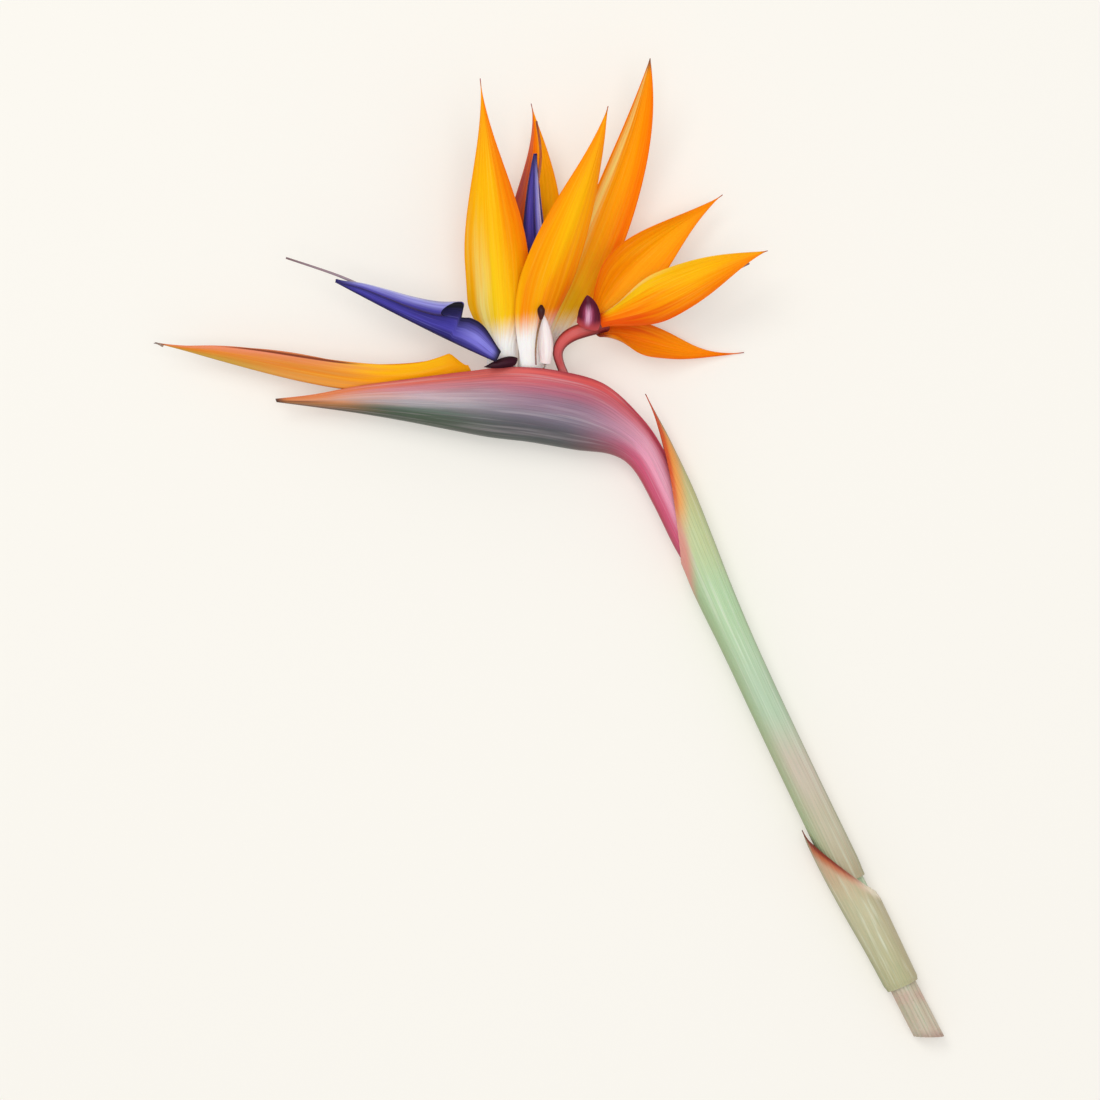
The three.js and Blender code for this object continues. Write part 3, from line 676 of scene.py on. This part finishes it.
# Blades: every sepal and hood. line is root, two handles and tip; rootHollow and hollow tell
# which way the hollow side looks at the root and further out; half is the widest half width.
bladeShape = {"thick": 0.8, "rim": 0.4, "tipThick": 0.45, "tip": 0.8, "tipFold": 0.4, "least": 0.12,
              "twistEnd": 0.45, "clawEnd": 0.3, "clawCup": 0.87, "foldWidth": 0.1, "foldRoom": 0.3,
              "fade": (0.15, 0.12), "waveOut": 2.5, "waveShift": 1.9}
ordinary = {"claw": 0.36, "shoulder": 0.0, "peak": 0.34, "point": 1.7, "fold": 0.28, "cup": 0.45,
            "ribs": 9, "ribDepth": 0.045, "wave": 0.35, "waves": 2.5}
sepals = {
    "sepal_1_upper": {
        **ordinary, "line": [[31, 14.5, 14.1], [38, 31, 12], [58, 45, 11], [75.3, 57.6, 9]],
        "rootHollow": [0, -0.56, 0.83], "hollow": [0.1, -0.2, 0.97], "half": 11.5, "claw": 0.3,
        "peak": 0.3, "point": 1.75,
    },
    "sepal_1_near": {
        **ordinary, "line": [[32.5, 13.6, 20.6], [45, 17, 25], [68, 31, 31], [90, 36.7, 34]],
        "rootHollow": [0, -0.35, -0.94], "hollow": [0, -0.2, -0.98], "half": 9.7, "claw": 0.3,
        "peak": 0.42, "point": 1.35,
    },
    "sepal_1_lower": {
        **ordinary, "line": [[31.5, 8.7, 15.6], [43, 9.5, 9], [60, -0.5, 2.2], [83, 3, 0.6]],
        "rootHollow": [0, 0.85, 0.53], "hollow": [0, 0.35, 0.93], "half": 7.2, "claw": 0.7,
        "point": 2,
    },
    "sepal_2_left": {
        **ordinary, "line": [[4.2, -4, 12.5], [4.6, 24, 3], [16, 58, 8], [8.6, 88.6, 18]],
        "rootHollow": [1, 0, 0], "hollow": [0, 0, 1], "half": 10.3, "peak": 0.5, "fold": 0.2,
        "cup": 0.35,
    },
    "sepal_2_near": {
        **ordinary, "line": [[10.4, -4, 16.4], [7, 22, 27], [27, 50, 41], [35, 85.6, 45]],
        "rootHollow": [-0.5, 0, -0.87], "hollow": [-0.15, 0.1, -0.98], "half": 10.3, "claw": 0.5,
        "peak": 0.38, "point": 1.35,
    },
    "sepal_2_right": {
        **ordinary, "line": [[10.6, -4, 8.8], [18, 15, 2], [44, 62, 6.5], [49.7, 103.4, 28]],
        "rootHollow": [-0.5, 0, 0.87], "hollow": [0.3, 0, 0.95], "half": 9.8, "peak": 0.5,
        "point": 1,
    },
    "sepal_3_near": {
        **ordinary, "line": [[-1.8, -4, 16.9], [-1.2, 16, 24.4], [-5.5, 62, 36], [-8.8, 95.6, 38]],
        "rootHollow": [0, 0, -1], "hollow": [0, 0.1, -1], "half": 12.6, "claw": 0.44,
        "shoulder": 0.1, "peak": 0.3, "hold": 0.42, "point": 2,
    },
    "sepal_3_left": {
        **ordinary, "line": [[-5.9, -4, 10.4], [-5.5, 22, 6], [-9, 50, 3], [-8, 74, 2.4]],
        "rootHollow": [0.87, 0, 0.5], "hollow": [0, 0.05, 1], "half": 7, "claw": 0.45,
        "shoulder": 0.14, "peak": 0.45,
    },
    "sepal_3_right": {
        **ordinary, "line": [[1.2, -4, 10.4], [-0.8, 16, 9], [-8.5, 46, 17], [-6, 70, 17]],
        "rootHollow": [-0.87, 0, 0.5], "hollow": [0, 0, 1], "half": 4.4, "claw": 0.7,
    },
    "sepal_4_near": {
        **ordinary, "line": [[-12, -4.3, 12.2], [-43, -20.4, 12.2], [-84, -3.2, 12.2], [-122.15, 6, 12]],
        "rootHollow": [0.1, 1, 0], "hollow": [0.1, 1, 0.05], "half": 9.8, "claw": 0.3, "peak": 0.05,
        "hold": 0.5, "point": 1.3, "rootFold": 1.25, "fold": 1.3, "rootCup": 0.25, "cup": 0.2,
        "wave": 0.2,
    },
}
smallPetal = {"shoulder": 0.0, "peak": 0.3, "cup": 0.8, "ribs": 5, "wave": 0.1, "waves": 1}
hoods = {
    "hood_1": {
        **smallPetal, "line": [[27.8, 10.6, 21.2], [28.6, 13.8, 25], [28.7, 17.8, 26.8], [28, 21.8, 26]],
        "hollow": [0.1, 0, -1], "half": 4.6, "claw": 0.9, "peak": 0.2, "point": 0.75, "fold": 0.25,
        "rootCup": 0.6, "cup": 0.6, "ribDepth": 0.05,
    },
    "hood_2": {
        **smallPetal, "line": [[13.6, -1.5, 20.6], [14.4, 4, 23.4], [13.6, 11, 25.6], [12, 16.8, 26.4]],
        "hollow": [-0.1, 0, -1], "half": 2.9, "claw": 0.7, "point": 1.1, "fold": 0.15, "ribDepth": 0.03,
    },
    "hood_3": {
        **smallPetal, "line": [[3.4, -1.2, 20.6], [1.4, -0.2, 22.2], [-3, -2.2, 23], [-7.6, -2.8, 22.2]],
        "hollow": [0, 0, -1], "half": 2.2, "claw": 0.8, "point": 1, "fold": 0.2, "ribs": 3,
        "ribDepth": 0.02, "wave": 0.05,
    },
}


# Half width at t as a share of the widest: a narrow claw up to the shoulder, the widest from
# peak to hold, and a drawn-out tip.
def lanceolate(t, look):
    shoulder, peak, point = look["shoulder"], look["peak"], look["point"]
    hold = look.get("hold", peak)
    low = mix(look["claw"], 1, smooth((t - shoulder) / (peak - shoulder)))
    s = np.clip((t - hold) / (1 - hold), 0, 1)
    return np.where(t < peak, low, (1 - s) ** point * (1 + point * s))


def bladeMesh(look, rows=110, half=34):
    shape = bladeShape
    t = np.linspace(0, 1, rows)
    u = np.linspace(-1, 1, 2 * half + 1)
    centre, run = bezier(look["line"], t)
    turn = smooth(t / shape["twistEnd"])[:, None]
    rootHollow = np.array(look.get("rootHollow", look["hollow"]), float)
    across, hollow = squareTo(run, mix(rootHollow, np.array(look["hollow"], float), turn))
    width = np.maximum(shape["least"], look["half"] * lanceolate(t, look))
    opened = smooth(t / shape["clawEnd"])
    nearTip = smooth((t - shape["tip"]) / (1 - shape["tip"]))
    fold = (mix(1, shape["tipFold"], nearTip) * mix(look.get("rootFold", 0.0), look["fold"], opened))[:, None]
    cup = mix(look.get("rootCup", shape["clawCup"]), look["cup"], opened)[:, None]
    lean = np.sign(u) * fold * np.minimum(1, np.abs(u) / shape["foldWidth"]) + cup * u
    between = (lean[:, 1:] + lean[:, :-1]) / 2

    def summed(share):  # outwards from the keel
        total = np.concatenate([np.zeros((rows, 1)), np.cumsum(share * (u[1] - u[0]) * width[:, None], 1)], 1)
        return total - total[:, half : half + 1]

    side, rise = summed(np.cos(between)), summed(np.sin(between))
    fadeIn, fadeOut = shape["fade"]
    fade = smooth(t / fadeIn)[:, None] * smooth((1 - t) / fadeOut)[:, None]
    ribs = look["ribDepth"] * np.cos(np.pi * look["ribs"] * u) * fade * (1 - u**6)
    phase = sum(map(abs, look["line"][3]))  # so that no two blades wave alike
    sway = np.sin(2 * np.pi * look["waves"] * t[:, None] + phase + shape["waveShift"] * (u > 0))
    rise = rise + look["wave"] * sway * np.abs(u) ** shape["waveOut"] * fade
    thick = shape["thick"] * mix(shape["rim"], 1, np.sqrt(1 - u**2))
    thick = thick * mix(1, shape["tipThick"], nearTip)[:, None] / 2

    def face(sign):
        inwards = np.sin(lean) * (ribs + sign * thick) * np.sign(u)
        x = side - np.sign(u) * np.minimum(inwards, (1 - shape["foldRoom"]) * np.abs(side))
        y = rise + np.cos(lean) * (ribs + sign * thick)
        return centre[:, None] + across[:, None] * x[..., None] + hollow[:, None] * y[..., None]

    places = np.stack(np.broadcast_arrays(u[None, :], t[:, None], 0.0), -1)
    return sheetMesh(face(-1), face(1), places)


# Petal colours. low and high are a sepal's colours near its foot and further out, from its left
# margin to its right one as it runs away from the foot, seen from above. claw is its foot's colour.
petalColours = {
    "white": "#fffdfa", "cream": "#ffe582", "lemon": "#ffcf18", "yellow": "#ffbb06", "gold": "#fea602",
    "orange": "#fe9200", "deep": "#fb7a00", "ember": "#e85206", "rust": "#a8401f", "brown": "#7d4a38",
    "olive": "#b39a3c", "blush": "#e88c6a", "mauve": "#a2505a", "tan": "#e08a34", "sand": "#e2a052",
    "flame": "#f0640a", "straw": "#ffe27a", "umber": "#84412a",
}
# Across sepal_3_near and sepal_1_near the yellow side and the deep orange side are partly their own colour
# and partly painted light and shade. The mauve left margin of sepal_2_left is painted shade on its far half;
# the yellow and gold of sepal_2_left and the pale low tones of sepal_2_right are painted light over places
# that neighbours shade.
sepalTonesAndPaintedLight = {
    "sepal_1_upper": {"low": ["deep", "orange", "gold", "gold"], "high": ["orange", "gold", "gold", "orange"],
                      "claw": "deep", "tip": "rust"},
    "sepal_1_near": {"low": ["cream", "lemon", "gold", "deep", "ember", "ember"],
                     "high": ["lemon", "yellow", "yellow", "gold", "orange", "deep"], "claw": "ember",
                     "tip": "rust"},
    "sepal_1_lower": {"low": ["ember", "deep", "orange"], "high": ["orange", "orange", "orange", "deep"],
                      "claw": "rust", "tip": "mauve"},
    "sepal_2_left": {"low": ["orange", "gold", "gold"], "high": ["mauve", "deep", "yellow", "gold"],
                     "claw": "white", "tip": "mauve"},
    "sepal_2_near": {"low": ["yellow", "orange", "gold", "orange", "orange", "deep"],
                     "high": ["orange", "gold", "yellow", "gold", "orange"], "claw": "white", "tip": "rust"},
    "sepal_2_right": {"low": ["cream", "lemon", "lemon"],
                      "high": ["orange", "cream", "gold", "gold", "orange", "deep"], "claw": "white",
                      "tip": "brown"},
    "sepal_3_near": {"low": ["yellow", "cream", "lemon", "yellow", "orange"],
                     "high": ["gold", "yellow", "yellow", "orange", "deep"], "claw": "white", "tip": "mauve"},
    "sepal_3_left": {"low": ["gold", "orange"], "high": ["orange", "deep"], "claw": "white", "tip": "rust"},
    "sepal_3_right": {"low": ["gold", "orange"], "high": ["mauve", "ember"], "claw": "white", "tip": "mauve"},
    "sepal_4_near": {"low": ["yellow", "gold", "orange", "orange", "gold"],
                     "high": ["blush", "tan", "sand", "tan", "blush"], "claw": "gold", "tip": "brown",
                     "glow": 0.15, "seam": (-0.95, 0.3, 0.9), "under": "olive"},
}
sepalLook = {"clawEnd": (0.073, 0.084), "clawTilt": 0.16, "streak": 0.16, "vein": 0.1, "margin": 0.25,
             "glow": 0.4, "tip": 0.955}


# Colours at even steps across a blade. Its own across runs the other way where it looks down.
def acrossRamp(f, names, flipped, shift):
    names = names[::-1] if flipped else names
    last = len(names) - 1
    place = f.plus(f.times(f.across, 0.5), f.plus(shift, 0.5))
    return f.ramp(place, [(k / last, petalColours[n]) for k, n in enumerate(names)])


def sepalFinish(name, tone, flipped, seed):
    f = Finish(name + "_petal", roughness=0.45, subsurface=0.1, specular=0.05)
    f.shader.inputs["Subsurface Radius"].default_value = (0.003, 0.0014, 0.0003)
    look = sepalLook
    fine = f.streaks(30, 3, seed)
    wide = f.streaks(6, 2, seed + 4)
    drift = f.times(f.minus(wide, 0.5), 0.45)
    low = acrossRamp(f, tone["low"], flipped, drift)
    high = acrossRamp(f, tone["high"], flipped, drift)
    base = f.blend(f.step(f.plus(f.along, drift), 0.22, 0.62), low, high)
    base = f.tint(base, petalColours["deep"], f.step(f.along, 0.62, 0.95), tone.get("glow", look["glow"]))
    base = f.tint(base, petalColours["flame"], f.step(fine, 0.48, 0.7), look["streak"])
    base = f.tint(base, petalColours["straw"], f.step(fine, 0.5, 0.28), look["vein"])
    base = f.tint(base, petalColours["ember"], f.step(f.size(f.across), 0.94, 1.0), look["margin"])
    if "under" in tone:  # along its keel near the tip
        under = f.times(f.step(f.size(f.across), 0.6, 0.1), f.step(f.along, 0.58, 0.8))
        base = f.tint(base, petalColours[tone["under"]], under, 0.6)
    if tone["claw"] == "white":  # the white foot ends in teeth, higher up towards the right
        ragged = f.timesPlus(f.minus(fine, 0.5), 0.007, f.upwards)
        ragged = f.timesPlus(f.rightwards, -look["clawTilt"], ragged)
        foot = f.step(ragged, look["clawEnd"][1], look["clawEnd"][0])
    else:
        foot = f.step(f.plus(f.along, f.times(drift, 0.2)), 0.1, 0.0)
    base = f.tint(base, petalColours[tone["claw"]], foot)
    base = f.tint(base, petalColours[tone["tip"]], f.step(f.timesPlus(drift, 0.1, f.along), look["tip"], 1.0))
    if "seam" in tone:  # a dark line along its upper margin
        at, start, end = tone["seam"]
        run = f.band(f.along, (start + end) / 2, (end - start) / 2)
        seam = f.step(f.times(f.band(f.across, at, 0.07), run), 0.05, 0.5)
        base = f.tint(base, petalColours["umber"], seam)
    f.grain(fine, 0.05, size=0.45, seed=seed, share=0.35)
    return f.finish(base)


def makeSepals():
    for number, (name, look) in enumerate(sepals.items()):
        flipped = look["hollow"][2] < 0
        finish = sepalFinish(name, sepalTonesAndPaintedLight[name], flipped, number * 3.7)
        makePiece(name, bladeMesh(look), [finish])


makeSepals()
print("sepals made")

# A hood's colours: its flank from the keel to the margin, the apex from one place along it to
# another, and the foot.
hoodLooks = {
    "hood_1": {
        "slot": "hood_maroon", "vein": "#7d1f3e", "streak": 0.4, "edge": "#550f2a", "apex": (0.5, 0.8),
        "root": "#c04a4e", "foot": (0.3, 0.02),
        # hood_1's palest pink along its keel is partly its pale inside and partly a painted highlight
        "flank": [(0.0, "#e0a9c2"), (0.18, "#c4769a"), (0.34, "#913655"), (0.52, "#5d132e"),
                  (1.0, "#45091c")],
    },
    "hood_2": {
        "slot": "hood_pale", "vein": "#f3d3d2", "streak": 0.4, "edge": "#f8e9e2", "apex": (0.8, 1.0),
        "root": "#f9e6e4", "foot": (0.2, 0.0),
        "flank": [(0.0, "#fdf3f1"), (0.6, "#fbeeec"), (1.0, "#f3d9d6")],
    },
    "hood_3": {
        "slot": "hood_dark", "vein": "#2c0615", "streak": 0.6, "edge": "#22040f", "apex": (0.7, 0.95),
        "root": "#2e0718", "foot": (0.2, 0.0),
        "flank": [(0.0, "#3a0c20"), (1.0, "#1b0410")],
    },
}


def hoodFinish(name, look):
    f = Finish(name + "_petal", roughness=0.45, subsurface=0.1, specular=0.15)
    fine = f.streaks(12, 2, 2)
    base = f.ramp(f.plus(f.size(f.across), f.times(f.minus(fine, 0.5), 0.3)), look["flank"])
    base = f.tint(base, look["vein"], f.step(fine, 0.45, 0.65), look["streak"])
    base = f.tint(base, look["edge"], f.step(f.along, *look["apex"]))
    base = f.tint(base, look["root"], f.step(f.along, *look["foot"]))
    f.bump(fine, 0.05)
    return f.finish(base)


def makeHoods():
    for name, shape in hoods.items():
        look = hoodLooks[name]
        makePiece(name, bladeMesh(shape, rows=48, half=16), [hoodFinish(name, look)])


makeHoods()
print("hoods made")

# Arrows: two petals joined along a keel, with barbs whose upper edges roll outwards into a tube.
# wing is the height at the barb and lobe its share behind the barb; taper tells how the height
# falls from the barb to the tip; roll is the tube's radius at the barb.
arrows = {
    "arrow_1": {
        "line": [[-3.4, -1, 24.2], [-19.6, 5.9, 26.2], [-39.6, 16.2, 25.6], [-59, 26.6, 24.4]],
        "hollow": [0.45, 0.89, 0], "wing": 13.2, "lobe": 0.82, "taper": [1, 0.7, 0.51, 0.38, 0.23, 0],
        "roll": 2.9, "stigma": [-75.9, 34.7, 25.4],
    },
    "arrow_2": {
        "line": [[7.2, 4.2, 14.5], [4.2, 25, 15.9], [5, 50, 18.5], [9.7, 71, 21.8]],
        "hollow": [1, 0, 0.1], "wing": 10.7, "lobe": 0.56, "taper": [1, 0.82, 0.63, 0.44, 0.23, 0],
        "roll": 1.6, "stigma": [10.5, 82, 23], "shade": (0.62, 0.36), "style": "brown",
    },
    "arrow_3": {
        "line": [[35.3, 12.8, 18.8], [50, 16.6, 22.3], [62, 22, 24], [78, 30, 24]],
        "hollow": [0.1, 0.1, -1], "wing": 6, "lobe": 0.8, "taper": [1, 0.8, 0.6, 0.4, 0.2, 0],
        "roll": 1.1, "stigma": [84, 33, 22],
    },
}
arrowShape = {"barb": 0.32, "slant": 0.1, "step": 0.015, "wingAngle": 0.42, "rollTurn": 4.5, "thick": 0.55,
              "clawHeight": 3.2, "lobeFrom": -0.06, "lobeRun": 0.28, "rounding": 0.12,
              "roundFrom": 0.07, "roundRun": 0.06, "tipHeight": 0.7, "tipRoll": 0.15,
              "rollEdge": 0.4, "foldRoom": 0.3, "ribDepth": 0.04, "ribEvery": 5, "ribFrom": 0.1}
styleShape = {"start": 0.2, "rise": [3.1, 3.1, 3.1, 3.1, 2.3], "radii": [0.5, 0.5, 0.5, 0.5, 0.45, 0.35]}


def arrowMesh(look, rows=110, flatSteps=20, rollSteps=28):
    shape = arrowShape
    barb, lean = shape["barb"], shape["wingAngle"]
    behindRows = round(rows * barb)
    before = np.linspace(0, barb - shape["step"], behindRows)
    stop = np.concatenate([before, np.linspace(barb, 1, rows - behindRows)])[:, None]
    j = np.arange(flatSteps + rollSteps + 1)
    share = np.minimum(1, j / flatSteps)
    rolled = np.maximum(0, j - flatSteps) / rollSteps
    turn = rolled * shape["rollTurn"]
    start = barb + shape["slant"] * (1 - np.cos(turn)) / 2
    t = np.where(stop < barb, stop + 0 * turn, mix(start, 1, (stop - barb) / (1 - barb)))
    head = np.clip((1 - t) / (1 - barb), 0, 1)
    grown = smooth((t - shape["lobeFrom"]) / shape["lobeRun"])
    rounded = smooth((t - barb + shape["roundFrom"]) / shape["roundRun"])  # just behind the barb
    behind = mix(shape["clawHeight"], look["wing"] * look["lobe"], grown)
    behind = behind * (1 - shape["rounding"] * rounded)
    ahead = mix(shape["tipHeight"], look["wing"], along(look["taper"], 1 - head))
    height = np.where(stop < barb, behind, ahead)
    radius = mix(shape["tipRoll"], look["roll"], head**0.9)
    x = share * height * math.sin(lean) + radius * (math.cos(lean) - np.cos(lean + turn))
    y = share * height * math.cos(lean) + radius * (np.sin(lean + turn) - math.sin(lean))
    facing = np.where(j > 0, lean + turn, np.pi / 2)
    ribs = shape["ribDepth"] * np.cos(2 * np.pi * j / shape["ribEvery"]) * (share > shape["ribFrom"])
    edge = mix(1, shape["rollEdge"], smooth(rolled * 4 - 3))  # over the last quarter of the roll
    centre, run = bezier(look["line"], t)
    across, hollow = squareTo(run, look["hollow"])

    def face(sign):
        thick = sign * shape["thick"] / 2 * edge + ribs
        px = x - np.minimum(np.cos(facing) * thick, (1 - shape["foldRoom"]) * x)
        py = y + np.sin(facing) * thick
        right = centre + across * px[..., None] + hollow * py[..., None]
        left = centre - across * px[..., None] + hollow * py[..., None]
        return np.concatenate([left[:, :0:-1], right], 1)

    u = 0.5 * (share + rolled)  # 0 at the keel, 0.5 where the roll starts, 1 at its edge
    u = np.concatenate([-u[:0:-1], u])
    has = np.ones((rows - 1, 2 * (flatSteps + rollSteps)), bool)
    has[:behindRows, :rollSteps] = False
    has[:behindRows, -rollSteps:] = False
    bothSides = np.concatenate([t[:, :0:-1], t], 1)
    places = np.stack(np.broadcast_arrays(u[None, :], bothSides, 0.0), -1)
    return sheetMesh(face(-1), face(1), places, has=has)


# Colours from the keel to the rolled edge: of the wing, of the roll, and of the lobe behind the
# barb. The wing's darkening towards the roll is painted shadow under the roll, and the roll's
# bright band between dark edges is a painted highlight and painted shade on the tube.
arrowTonesAndPaintedLight = {
    "wing": [(0.0, "#120c38"), (0.05, "#261e6c"), (0.15, "#473fa8"), (0.27, "#3c3496"),
             (0.37, "#1b154e"), (0.5, "#0d0926")],
    "roll": [(0.5, "#2a2364"), (0.6, "#5f58b6"), (0.68, "#bfc0ec"), (0.76, "#8f8cd6"),
             (0.86, "#4b43a2"), (0.95, "#17113f")],
    "lobe": [(0.0, "#1a1142"), (0.06, "#40388c"), (0.15, "#7a74d6"), (0.27, "#8a86e2"),
             (0.38, "#625bb2"), (0.44, "#2a1f58"), (0.5, "#1a0e30")],
}
arrowTints = {"streak": "#2c2478", "vein": "#918dea", "paintedTubeShade": "#080518", "tip": "#241d66",
              "root": "#160d22", "shade": "#0e0926"}


def arrowFinish(name, look, seed):
    f = Finish(name + "_petal", roughness=0.38, subsurface=0.05, specular=0.25)
    v = f.size(f.across)
    fine = f.streaks(40, 3, seed)
    wide = f.streaks(8, 2, seed + 2)
    height = f.plus(v, f.times(f.minus(wide, 0.5), 0.06))
    tint = arrowTints
    tone = {part: f.ramp(height, stops) for part, stops in arrowTonesAndPaintedLight.items()}
    base = f.blend(f.step(v, 0.49, 0.52), tone["wing"], tone["roll"])
    base = f.tint(base, tone["lobe"], f.step(f.timesPlus(wide, 0.1, f.along), 0.4, 0.2))
    base = f.tint(base, tint["streak"], f.step(fine, 0.46, 0.66), 0.35)
    base = f.tint(base, tint["vein"], f.step(fine, 0.48, 0.3), 0.2)
    # painted shade: near black on the inner face where the roll starts, inside the tube
    base = f.tint(base, tint["paintedTubeShade"], f.times(f.step(v, 0.47, 0.51), f.step(f.face, 0.2, -0.3)))
    base = f.tint(base, tint["tip"], f.step(f.along, 0.86, 1.0))
    base = f.tint(base, tint["root"], f.step(f.along, 0.06, 0.0))
    if "shade" in look:  # dark down between the sepals
        base = f.tint(base, tint["shade"], f.step(f.along, *look["shade"]), 0.85)
    f.grain(fine, 0.05, size=0.4, seed=seed)
    return f.finish(base)


styleTones = {
    "grey": [(0.0, "#e5d9de"), (0.6, "#b3a3b4"), (0.85, "#98838c"), (1.0, "#7d6468")],
    "brown": [(0.0, "#e5d9de"), (0.6, "#a8766a"), (0.8, "#b0582a"), (1.0, "#8a3f2a")],
}


def styleFinish(kind):
    f = Finish("style_" + kind, roughness=0.55, subsurface=0.1)
    base = f.ramp(f.along, styleTones[kind])
    base = f.tint(base, "#8d7a7a", f.step(f.mottle(1.2, 4), 0.45, 0.65), 0.25)
    f.bump(f.mottle(0.5, 2), 0.06)
    return f.finish(base)


def styleMesh(look):
    t = np.linspace(styleShape["start"], 1, len(styleShape["rise"]))
    centre, run = bezier(look["line"], t)
    _, hollow = squareTo(run, look["hollow"])
    path = centre + hollow * np.array(styleShape["rise"])[:, None]
    return roundBody(np.concatenate([path, [look["stigma"]]]), styleShape["radii"], sides=12, steps=70)


def makeArrows():
    finishes = {kind: styleFinish(kind) for kind in styleTones}
    for number, (name, look) in enumerate(arrows.items()):
        makePiece(name, arrowMesh(look), [arrowFinish(name, look, number * 5.1)])
        styleName = name.replace("arrow", "style")
        makePiece(styleName, styleMesh(look), [finishes[look.get("style", "grey")]])


makeArrows()
print("arrows and styles made")

# Florets' tubes, from the stalk inside the spathe to where the petals part
tubes = {
    "floret_tube_1": {
        "kind": "red", "radii": [1.4, 3, 1.5, 1.8, 2.4, 2.6],
        "path": [
            [31.5, -21.7, 11.6], [24, -13, 11.6], [19.6, -4, 13], [18, 3.2, 16.4], [22.8, 8.6, 17.4],
            [34.5, 12.2, 17.4],
        ],
    },
    "floret_tube_2": {
        "kind": "white", "radii": [1.4, 2.9, 3.3, 3, 1.4],
        "path": [[14, -21, 11.6], [10, -11, 12], [8.5, -4, 12.5], [8.5, 0, 12.5], [8.5, 3.5, 12.5]],
    },
    "floret_tube_3": {
        "kind": "white", "radii": [1.4, 2.9, 3.3, 3, 1.4],
        "path": [[2, -19.8, 11.6], [-1.6, -11, 12], [-2.4, -4, 12.5], [-2.4, 0, 12.5], [-2.4, 3.5, 12.5]],
    },
    "floret_tube_4": {
        "kind": "white", "radii": [1.4, 2.4, 2.2, 1.4],
        "path": [[-9.5, -19.3, 11.6], [-12, -14, 11.6], [-13.9, -10.8, 12], [-15.3, -7.3, 12.2]],
    },
}
# flank is painted shade on a tube's sides, darker than its top
tubeLooks = {
    "red": {
        "tones": [(0.0, "#e8c9b8"), (0.35, "#df8080"), (0.5, "#d65f60"), (0.8, "#cd5450"), (1.0, "#7d2218")],
        "vein": "#b03c46", "flank": "#731520",
    },
    "white": {
        "tones": [(0.0, "#e7d3ae"), (0.5, "#f6ebe2"), (1.0, "#fdf8f3")],
        "vein": "#f3d5d0", "flank": "#f6e9e4",
    },
}


def tubeFinish(kind, look):
    f = Finish("tube_" + kind + "_skin", roughness=0.4, subsurface=0.1, specular=0.3)
    fine = f.streaks(16, 6, 3)
    base = f.ramp(f.along, look["tones"])
    base = f.tint(base, look["vein"], f.step(fine, 0.46, 0.66), 0.4)
    # painted shade: darker on the tube's sides than along its top
    base = f.tint(base, look["flank"], f.step(f.size(f.plus(f.across, 0.5)), 0.2, 0.42), 0.85)
    f.grain(fine, 0.08)
    return f.finish(base)


def makeTubes():
    finishes = {kind: tubeFinish(kind, look) for kind, look in tubeLooks.items()}
    for name, look in tubes.items():
        shape = roundBody(look["path"], look["radii"], sides=36, steps=60, ridges=6, ridgeDepth=0.04)
        makePiece(name, shape, [finishes[look["kind"]]])


makeTubes()
print("floret tubes made")

# Fine threads that are too thin for solids of their own
threads = {
    "stamen_2": {
        "path": [[10.3, -2.0, 22.4], [10.2, 3, 24.4], [10.8, 8.6, 26.6], [12.2, 14.0, 27.6]],
        "radii": [0.3, 0.32, 0.36, 0.42], "tones": ["#a67d76", "#a5835f", "#85502f"],
    },
    "anther_2": {
        "path": [[12.0, 13.4, 27.5], [12.1, 15.2, 27.7], [12.1, 16.9, 27.8], [12.2, 18.2, 27.7]],
        "radii": [0.5, 1.15, 1.3, 0.5], "tones": ["#5a1a14", "#3f0f10", "#2b0a0c"],
    },
    "beak_thread": {
        "path": [[-119.5, 4.9, 12], [-121.2, 5.6, 12.1], [-122.6, 5.8, 12.3]],
        "radii": [0.5, 0.3, 0.15], "tones": ["#a98b78", "#8b8079"],
    },
}


def threadFinish(name, tones):
    f = Finish(name + "_skin", roughness=0.5)
    base = f.ramp(f.along, [(k / (len(tones) - 1), tone) for k, tone in enumerate(tones)])
    base = f.tint(base, "#3a1a18", f.step(f.mottle(0.8, 3), 0.4, 0.6), 0.3)
    f.bump(f.mottle(0.4, 1), 0.05)
    return f.finish(base)


def makeThreads():
    for name, look in threads.items():
        shape = roundBody(look["path"], look["radii"], sides=12, steps=30)
        makePiece(name, shape, [threadFinish(name, look["tones"])], inCad=False)


makeThreads()
print("threads made")
